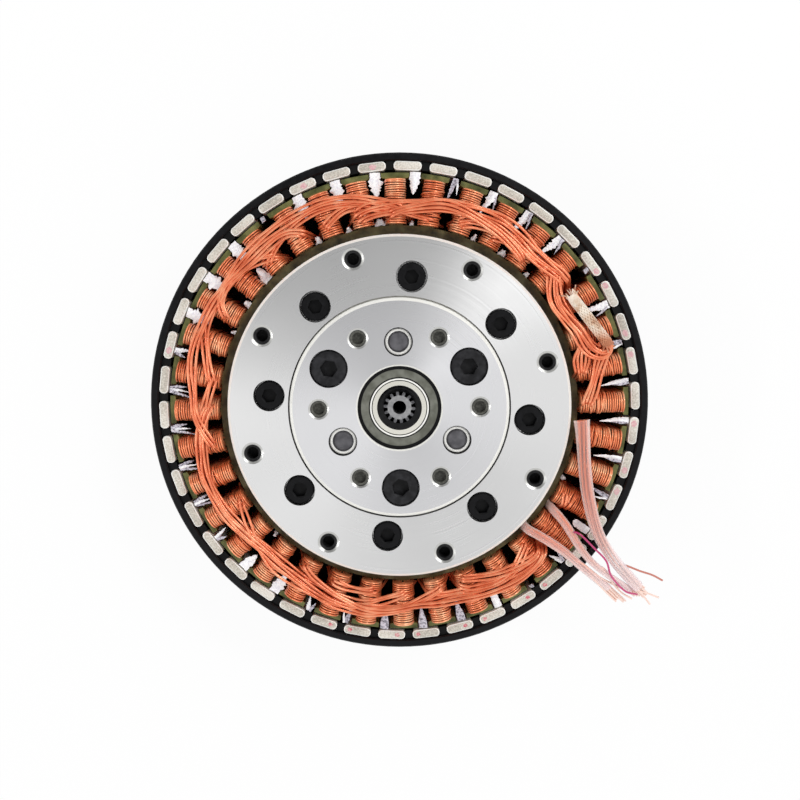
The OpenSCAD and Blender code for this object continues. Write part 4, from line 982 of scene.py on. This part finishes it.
# Kinds of wedge, each of one or more slivers: half width, length, raggedness, lean sideways, how blunt its
# end is and how far it stands aside (lengths in millimetres)
WEDGE_KINDS = {
    "r": ((1.55, 5.1, 0.3, 0.1, 0.0, 0.0),),
    "w": ((1.0, 4.4, 0.2, 0.2, 0.2, 0.0),),
    "l": ((0.8, 5.2, 0.34, 1.1, 0.05, 0.0), (0.25, 3.4, 0.3, -0.3, 0.0, -0.7)),
    "n": ((0.42, 4.8, 0.25, 0.7, 0.05, 0.1), (0.2, 3.2, 0.2, -0.2, 0.0, -0.6)),
    "s": ((0.5, 6, 0.22, -0.4, 0.05, 0.2), (0.22, 3.6, 0.3, 0.3, 0.0, -0.5)),
    "t": ((0.4, 3.4, 0.35, -0.6, 0.05, -0.2), (0.28, 2.6, 0.3, 0.2, 0.0, 0.5)),
    "f": ((0.3, 5.2, 0.35, 0.9, 0.05, 0.35), (0.26, 4.2, 0.3, 0.2, 0.0, -0.2),
          (0.32, 3.6, 0.35, -0.3, 0.1, -0.65)),
    "p": ((0.8, 5, 0.05, 0.0, 0.0, 0.0),),
    "b": ((0.75, 4.2, 0.1, 0.3, 1.0, 0.0),),
    "d": ((0.4, 1.2, 0.1, 0.0, 0.5, 0.0),),
}
# Kinds whose first sliver shows its grey side
GREY_KINDS = "npdf"
# The kind of wedge in each slot, from the slot beside the first tooth
WEDGE_ORDER = "snldlllnwrrrdrrrtfffftwrtnpppbdtbnss"
# Scraps at the slots' inner ends: slot, width and length in millimetres
SCRAPS = ((4, 1, 0.8), (5, 1.4, 1.2), (6, 0.9, 1.1), (8, 0.7, 0.6), (9, 1.8, 1.2), (10, 1.2, 0.7),
          (11, 1.2, 1.2), (13, 1.9, 3.1), (14, 1.3, 0.9), (15, 0.7, 0.6), (22, 0.8, 0.7), (33, 0.8, 0.6))
# Where the paper starts, in millimetres from the axis: wedges in the slots' mouths, scraps at the inner ends
WEDGE_R, SCRAP_R = 44.85, 34.85


def crumple(draw, size):
    return Vector([draw.uniform(-size, size) for _ in range(3)]) * MM


def paper_sheet(rows, slot):
    """A sheet of paper through rows of points, with its thickness, at a slot."""
    piece = from_rows(rows)
    modify(piece, "SOLIDIFY", thickness=0.08 * MM, offset=0)
    piece.data.transform(turned(SLOT_ANGLE + SLOT_STEP * slot))
    return piece


def paper_wedge(size, slot, draw):
    """One sliver of a slot wedge: up out of the slot's mouth, then folded inwards, creased and torn."""
    half, long, ragged, lean, blunt, aside = size
    neck = min(0.98, half)
    fold = 1.4
    columns = (-1, -0.62, -0.22, 0.22, 0.62, 1)
    crease = draw.choice((-1, 1)) * draw.uniform(0.15, 0.5)
    roll = draw.uniform(-0.6, 0.6)
    lift = draw.uniform(0.1, 0.5)
    top = STACK_HIGH / MM
    rows = [[Vector((WEDGE_R - 0.1, u * neck + aside * 0.6, top - 1.6)) * MM for u in columns]]
    count = 20
    for k in range(count):
        t = k / (count - 1)
        s = long * t
        past_fold = min(max(s - fold, 0) / max(long - fold, 0.1), 1)
        taper = (1 - past_fold) ** 0.8 * (1 - blunt) + blunt * (1 - past_fold ** 8)
        wide = (neck + (half - neck) * ease(past_fold * 9)) * taper
        torn = {u: 1 + (draw.uniform(-1, 1) * ragged if s > 1 else 0) for u in (-1, 1)}
        ripple = draw.uniform(-1, 1) * ragged * 0.2
        row = []
        for u in columns:
            y = u * wide * torn.get(u, 1) + lean * t ** 1.5 + aside * (0.6 + 0.4 * ease(s / 2))
            creased = crease * (0.5 - abs(u)) * min(wide * 2, 1) + roll * u * wide + ripple
            z = top + lift + 2 * t ** 1.2 + creased
            row.append(Vector((WEDGE_R - s, y, z)) * MM + crumple(draw, ragged * 0.14))
        rows.append(row)
    return paper_sheet(rows, slot)


def liner_scrap(wide, long, slot, draw):
    """A scrap of slot liner that stands at a slot's inner end."""
    rows = []
    for k in range(7):
        t = k / 6
        half = wide / 2 * (1 - 0.5 * t * t)
        foot = STACK_HIGH / MM + 0.3 + 1.3 * t
        rows.append([Vector((SCRAP_R + long * t, u * half, foot - 0.4 * u * u)) * MM + crumple(draw, 0.16)
                     for u in (-1, -0.35, 0.4, 1)])
    return paper_sheet(rows, slot)


def slot_papers():
    """Each slot's wedge; the second sliver of a wedge shows its other side."""
    draw = random.Random(31)
    white, grey = [], []
    for slot, kind in enumerate(WEDGE_ORDER):
        for j, size in enumerate(WEDGE_KINDS[kind]):
            shade = grey if (kind in GREY_KINDS) != (j == 1) else white
            shade.append(paper_wedge(size, slot, draw))
    white += [liner_scrap(wide, long, slot, draw) for slot, wide, long in SCRAPS]
    for name, papers, finish, nodes in (("slot_paper_white", white, FINISHES["slot_paper"], ["slot_wedges"]),
                                        ("slot_paper_grey", grey, GREY_PAPER, [])):
        piece = gather(papers)
        smooth_shade(piece, 35)
        settle(piece, name, "stator", "slot_paper", finish, stands_for=nodes)


# Magnets: ground blocks with rounded ends and edge bevels that carry a painted highlight, some with a dab of
# marking paint

# Places of the dabs round the rotor, in degrees: clear dots, then faint smears
DOTS = (252.6, 257.5, 269.4, 274.7, 286.6, 291.7, 303.6, 308.9)
SMEARS = (34.4, 30.3, 17.9, 12.5, 355.5, 343.8, 338.3, 166.5, 113.5, 96.4)


def magnet_blocks():
    middle = (MAGNET_IN_R + MAGNET_THICK / 2, 0, (MAGNET_LOW + MAGNET_HIGH) / 2)
    block = primitive("cube", middle, size=1, scale=(MAGNET_THICK, MAGNET_WIDE, MAGNET_HIGH - MAGNET_LOW))
    with editing(block, "EDGE", lambda edge: not is_level(edge)):
        bpy.ops.mesh.bevel(offset=0.78 * MM, segments=6)
    with editing(block, "EDGE", is_level):
        bpy.ops.mesh.bevel(offset=0.2 * MM, segments=2)
    for face in block.data.polygons:
        # The edge bevels take the painted highlight, the rest the magnets' own finish
        face.material_index = int(0.1 < abs(face.normal.z) < 0.98)
    piece = copies(block, [turned(MAGNET_ANGLE + TURN * k / MAGNETS) for k in range(MAGNETS)])
    smooth_shade(piece, 30)
    settle(piece, "magnet_blocks", "rotor", "magnet", FINISHES["magnet"], MAGNET_EDGE_HIGHLIGHT, stands_for=["magnets"])


def magnet_marks():
    draw = random.Random(3)
    for name, places, finish, radius in (("magnet_dots", DOTS, MARK_PAINT, 0.42 * MM),
                                         ("magnet_smears", SMEARS, FAINT_PAINT, 0.62 * MM)):
        dabs = []
        for degrees in places:
            dab = primitive("circle", vertices=14, radius=radius, fill_type="NGON")
            for vertex in dab.data.vertices:
                vertex.co.x *= draw.uniform(0.75, 1.0)
                vertex.co.y *= draw.uniform(0.8, 1.35)
            dab.data.transform(turned(math.radians(degrees)) @ moved(x=46 * MM, z=MAGNET_HIGH + 0.005 * MM))
            modify(dab, "SOLIDIFY", thickness=0.015 * MM, offset=1)
            dabs.append(dab)
        settle(gather(dabs), name, "rotor", "magnet", finish)


# Screws: socket heads with a knurled side, a chamfered face and a hexagon socket with a countersunk mouth

def socket_screw(head_d, head_h, key_w, shank_d, top_z, low_z):
    """One cap screw on the axis, with its head's face at top_z and its end at low_z."""
    edge = 0.2 * MM
    knurls = 30
    under = top_z - head_h
    head = primitive("cylinder", (0, 0, under + (head_h - edge) / 2), vertices=knurls * 2, radius=head_d / 2,
                     depth=head_h - edge)
    with editing(head, "FACE", lambda face: face.normal.z > 0.9):
        bpy.ops.mesh.extrude_region_move(TRANSFORM_OT_translate={"value": (0, 0, edge)})
        bpy.ops.transform.resize(value=(1 - 2.6 * edge / head_d,) * 2 + (1,), center_override=(0, 0, top_z))
    for vertex in head.data.vertices:
        around_head = math.atan2(vertex.co.y, vertex.co.x) / TURN * knurls * 2
        if vertex.co.z < top_z - edge / 2 and round(around_head) % 2:
            vertex.co.x *= 0.965
            vertex.co.y *= 0.965
    key = primitive("cylinder", (0, 0, top_z), vertices=6, radius=key_w / 2 / math.cos(math.pi / 6),
                    depth=head_h * 1.1)
    mouth = primitive("cone", (0, 0, top_z - 0.15 * MM), vertices=48, radius1=key_w * 0.42,
                      radius2=key_w * 0.68, depth=0.5 * MM)
    for cutter in (key, mouth):
        modify(head, "BOOLEAN", object=cutter, operation="DIFFERENCE", solver="EXACT")
        bpy.data.objects.remove(cutter)
    into_head = 0.3 * MM
    shank = primitive("cylinder", (0, 0, (low_z + under + into_head) / 2), vertices=32, radius=shank_d / 2,
                      depth=under + into_head - low_z)
    with editing(shank, "FACE", lambda face: face.normal.z < -0.9):
        bpy.ops.mesh.extrude_region_move(TRANSFORM_OT_translate={"value": (0, 0, -0.05 * MM)})
        bpy.ops.transform.resize(value=(0.8, 0.8, 1), center_override=(0, 0, low_z))
    screw = gather([head, shank])
    smooth_shade(screw, 25)
    return screw


def socket_screws():
    """M3 screws in the cover and M4 screws in the carrier, as tall as their nodes."""
    for node, name, body, finish, sizes, places in (
            ("cover_screws", "cover_socket_screws", "stator", FINISHES["black_screw"], (5.5, 3, 2.5, 2.5),
             around(8, 39.7, 25 * MM, spin=1.3)),
            ("carrier_screws", "carrier_socket_screws", "output", WORN_SCREW, (7, 4, 3, 3.3),
             around(3, 30.9, OUTPUT_HOLES_R, spin=0.9))):
        low, high = (corner.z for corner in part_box(node))
        screw = socket_screw(*(size * MM for size in sizes), high, low + 0.05 * MM)
        settle(copies(screw, places), name, body, "black_screw", finish, stands_for=[node])


# Turned rings: each is a profile of (radius, height) pairs in millimetres, swept round the axis

def turned_ring(profile, sides=96):
    """A closed ring; its profile runs so that the material lies on its left."""
    piece = from_rows([circle(r * MM, z * MM, sides) for r, z in (*profile, profile[0])], close_round=True)
    with editing(piece):
        bpy.ops.mesh.remove_doubles(threshold=0.001 * MM)
        bpy.ops.mesh.normals_make_consistent(inside=False)
    smooth_shade(piece, 30)
    return piece


def centre_seal():
    """The centre bearing's seal, a black rubber lip with a bright ring on it that carries a painted highlight,
    and the cup on the shaft.
    """
    lip = turned_ring(((5.17, 27.6), (5.85, 27.6), (5.85, 27.86), (5.78, 27.9), (5.24, 27.9), (5.17, 27.84)))
    settle(lip, "centre_seal_lip", "output", "black_steel", BLACK_RUBBER_AND_SHADE)
    ring = turned_ring(((5.32, 27.8), (5.62, 27.8), (5.62, 27.92), (5.57, 27.97), (5.37, 27.97),
                        (5.32, 27.92)))
    settle(ring, "centre_seal_highlight", "output", "race_steel", RING_HIGHLIGHT)
    cup = turned_ring(((3.05, 27.1), (3.96, 27.1), (3.96, 27.91), (4.28, 27.91), (4.28, 27.96), (4.2, 28),
                       (3.7, 28), (3.05, 27.4)))
    settle(cup, "shaft_cup", "rotor", "black_steel", BLACK_SLEEVE)


def shaft_plug():
    """The plug in the hollow shaft's lower end, which would carry the angle sensor's magnet."""
    low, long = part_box("sun_shaft")[0].z + 0.1 * MM, 6 * MM
    plug = primitive("cylinder", (0, 0, low + long / 2), vertices=48, radius=1.29 * MM, depth=long)
    with editing(plug, "EDGE", is_level):
        bpy.ops.mesh.bevel(offset=0.15 * MM, segments=2)
    smooth_shade(plug, 30)
    settle(plug, "shaft_plug", "rotor", "black_steel", BLACK_RUBBER_AND_SHADE)


def pin_rings():
    """Each planet pin's bored seat: a bright ring in it that carries a painted highlight, and round it a dark
    liner that is painted shade on the recess wall.
    """
    places = around(3, 90.9, 12.6 * MM)
    ring = turned_ring(((2.06, 27.32), (2.5, 27.32), (2.52, 27.5), (2.4, 27.58), (2.2, 27.58),
                        (2.06, 27.46)), 48)
    settle(copies(ring, places), "pin_seat_highlights", "output", "spring_steel", RING_HIGHLIGHT)
    # Painted shade: a near black liner on the recess wall
    shade_liner = turned_ring(((2.56, 27.31), (2.74, 27.31), (2.74, 28.2), (2.68, 28.2), (2.6, 27.4),
                       (2.56, 27.36)), 48)
    settle(copies(shade_liner, places), "pin_recess_shade", "output", "black_steel", BLACK_RUBBER_AND_SHADE)


# Tapped holes: the helix of an M3 thread down to a drilled floor, painted dark as the shade in the holes

THREAD_PITCH = 0.5 * MM


def tapped_thread(depth):
    """The thread's surface inside a hole that opens upwards at Z = 0."""
    sides, steps = 28, 5
    rows = [circle(1.5 * MM, -0.235 * MM, sides), circle(1.24 * MM, -0.335 * MM, sides)]
    for k in range(int((depth - 0.5 * MM) / THREAD_PITCH * steps)):
        z = -0.36 * MM - k * THREAD_PITCH / steps
        row = []
        for j in range(sides):
            turns = (z / THREAD_PITCH + j / sides) % 1
            row.append(polar(TURN * j / sides, (1.08 + 0.15 * abs(turns * 2 - 1)) * MM, z))
        rows.append(row)
    floor = rows[-1][0].z - 0.02 * MM
    rows += [circle(r * MM, floor, sides) for r in (1, 0.5, 0.12)]
    piece = from_rows(rows, close_round=True)
    with editing(piece, "EDGE", lambda edge: all(math.hypot(v.co.x, v.co.y) < 0.13 * MM for v in edge.verts)):
        bpy.ops.mesh.edge_face_add()
        bpy.ops.mesh.select_all(action="SELECT")
        bpy.ops.mesh.normals_make_consistent(inside=False)
    if piece.data.polygons[0].normal.z < 0:
        piece.data.flip_normals()
    modify(piece, "SOLIDIFY", thickness=0.1 * MM, offset=-1)
    smooth_shade(piece, 30)
    return piece


def tapped_threads():
    settle(copies(tapped_thread(3.8 * MM), around(8, 17.3, COVER_HOLES_R, COVER_FACE)), "cover_threads",
           "stator", "cover_aluminium", THREAD_SHADE)
    settle(copies(tapped_thread(1.9 * MM), around(6, 0.9, OUTPUT_HOLES_R, OUTPUT_FACE)), "output_threads",
           "output", "flange_aluminium", THREAD_LIGHTER_SHADE)


# Stage and light

def light(name, azimuth, elevation, distance, size, power):
    """A soft rectangular light that looks at the motor; its angles are in degrees."""
    up = math.radians(elevation)
    away = polar(math.radians(azimuth), distance * math.cos(up), distance * math.sin(up))
    bpy.ops.object.light_add(type="AREA", location=Vector((0, 0, 20 * MM)) + away)
    lamp = bpy.context.object
    lamp.name = name
    lamp.rotation_euler = away.to_track_quat("Z", "Y").to_euler()
    lamp.data.shape = "RECTANGLE"
    lamp.data.size, lamp.data.size_y = size
    lamp.data.energy = power


def daylight(world):
    """A wide soft ceiling over slightly darker walls, with a dark doorway beyond the upper edge.

    The camera itself sees white.
    """
    world.use_nodes = True
    tree = world.node_tree
    way = add(tree, "TexCoord", {}, "Generated")
    height = add(tree, "SeparateXYZ", {0: way}, "Z")
    ceiling = add(tree, "MapRange", {"Value": height, "From Min": 0.35, "From Max": 0.95, "To Min": 0.95,
                                     "To Max": 1.02}, interpolation_type="SMOOTHSTEP")
    to_door = add(tree, "VectorMath", {0: way, 1: (-0.13, 0.49, 0.862)}, "Value", operation="DOT_PRODUCT")
    doorway = add(tree, "MapRange", {"Value": to_door, "From Min": 0.8, "From Max": 0.93, "To Min": 1.0,
                                     "To Max": 0.08}, interpolation_type="SMOOTHSTEP")
    lit = add(tree, "Math", {0: ceiling, 1: doorway}, operation="MULTIPLY")
    seen = add(tree, "LightPath", {}, "Is Camera Ray")
    feed(tree, tree.nodes["Background"], {
        "Color": colour("#ffffff"),
        "Strength": add(tree, "Math", {0: lit, 1: seen}, operation="MAXIMUM"),
    })


def white_backdrop():
    """Matt white paper that keeps a faint shadow; the camera, gloss and glass see it nearly plain white."""
    paper, tree, _ = new_material("white backdrop")
    shaded(paper, {"Base Color": colour("#f4f4f4"), "Metallic": 0.0, "Roughness": 0.9})
    camera, glossy, through_glass = (add(tree, "LightPath", {}, f"Is {ray} Ray")
                                     for ray in ("Camera", "Glossy", "Transmission"))
    seen = add(tree, "Math", {0: camera, 1: glossy}, operation="MAXIMUM")
    seen = add(tree, "Math", {0: seen, 1: through_glass}, operation="MAXIMUM")
    share = add(tree, "Math", {0: seen, 1: 0.92}, operation="MULTIPLY")
    glow = add(tree, "Emission", {"Color": colour("#ffffff"), "Strength": 1.0})
    surface = add(tree, "MixShader", {0: share, 1: tree.nodes["Principled BSDF"].outputs[0], 2: glow})
    feed(tree, tree.nodes["Material Output"], {"Surface": surface})
    return paper


def studio():
    scene = bpy.context.scene
    scene.view_settings.view_transform = "Standard"
    scene.world = bpy.data.worlds.new("studio")
    daylight(scene.world)
    light("key_panel", 44, 52, 0.7, (0.26, 0.12), 1.4)
    light("left_panel", 187, 40, 0.8, (0.3, 0.05), 0.9)
    floor = primitive("plane", size=4)
    floor.name = "floor"
    floor.data.materials.append(white_backdrop())


place_camera()
dress_nodes()
leads()
windings()
links()
star_sleeve()
star_strands()
slot_papers()
magnet_blocks()
magnet_marks()
socket_screws()
centre_seal()
shaft_plug()
pin_rings()
tapped_threads()
studio()
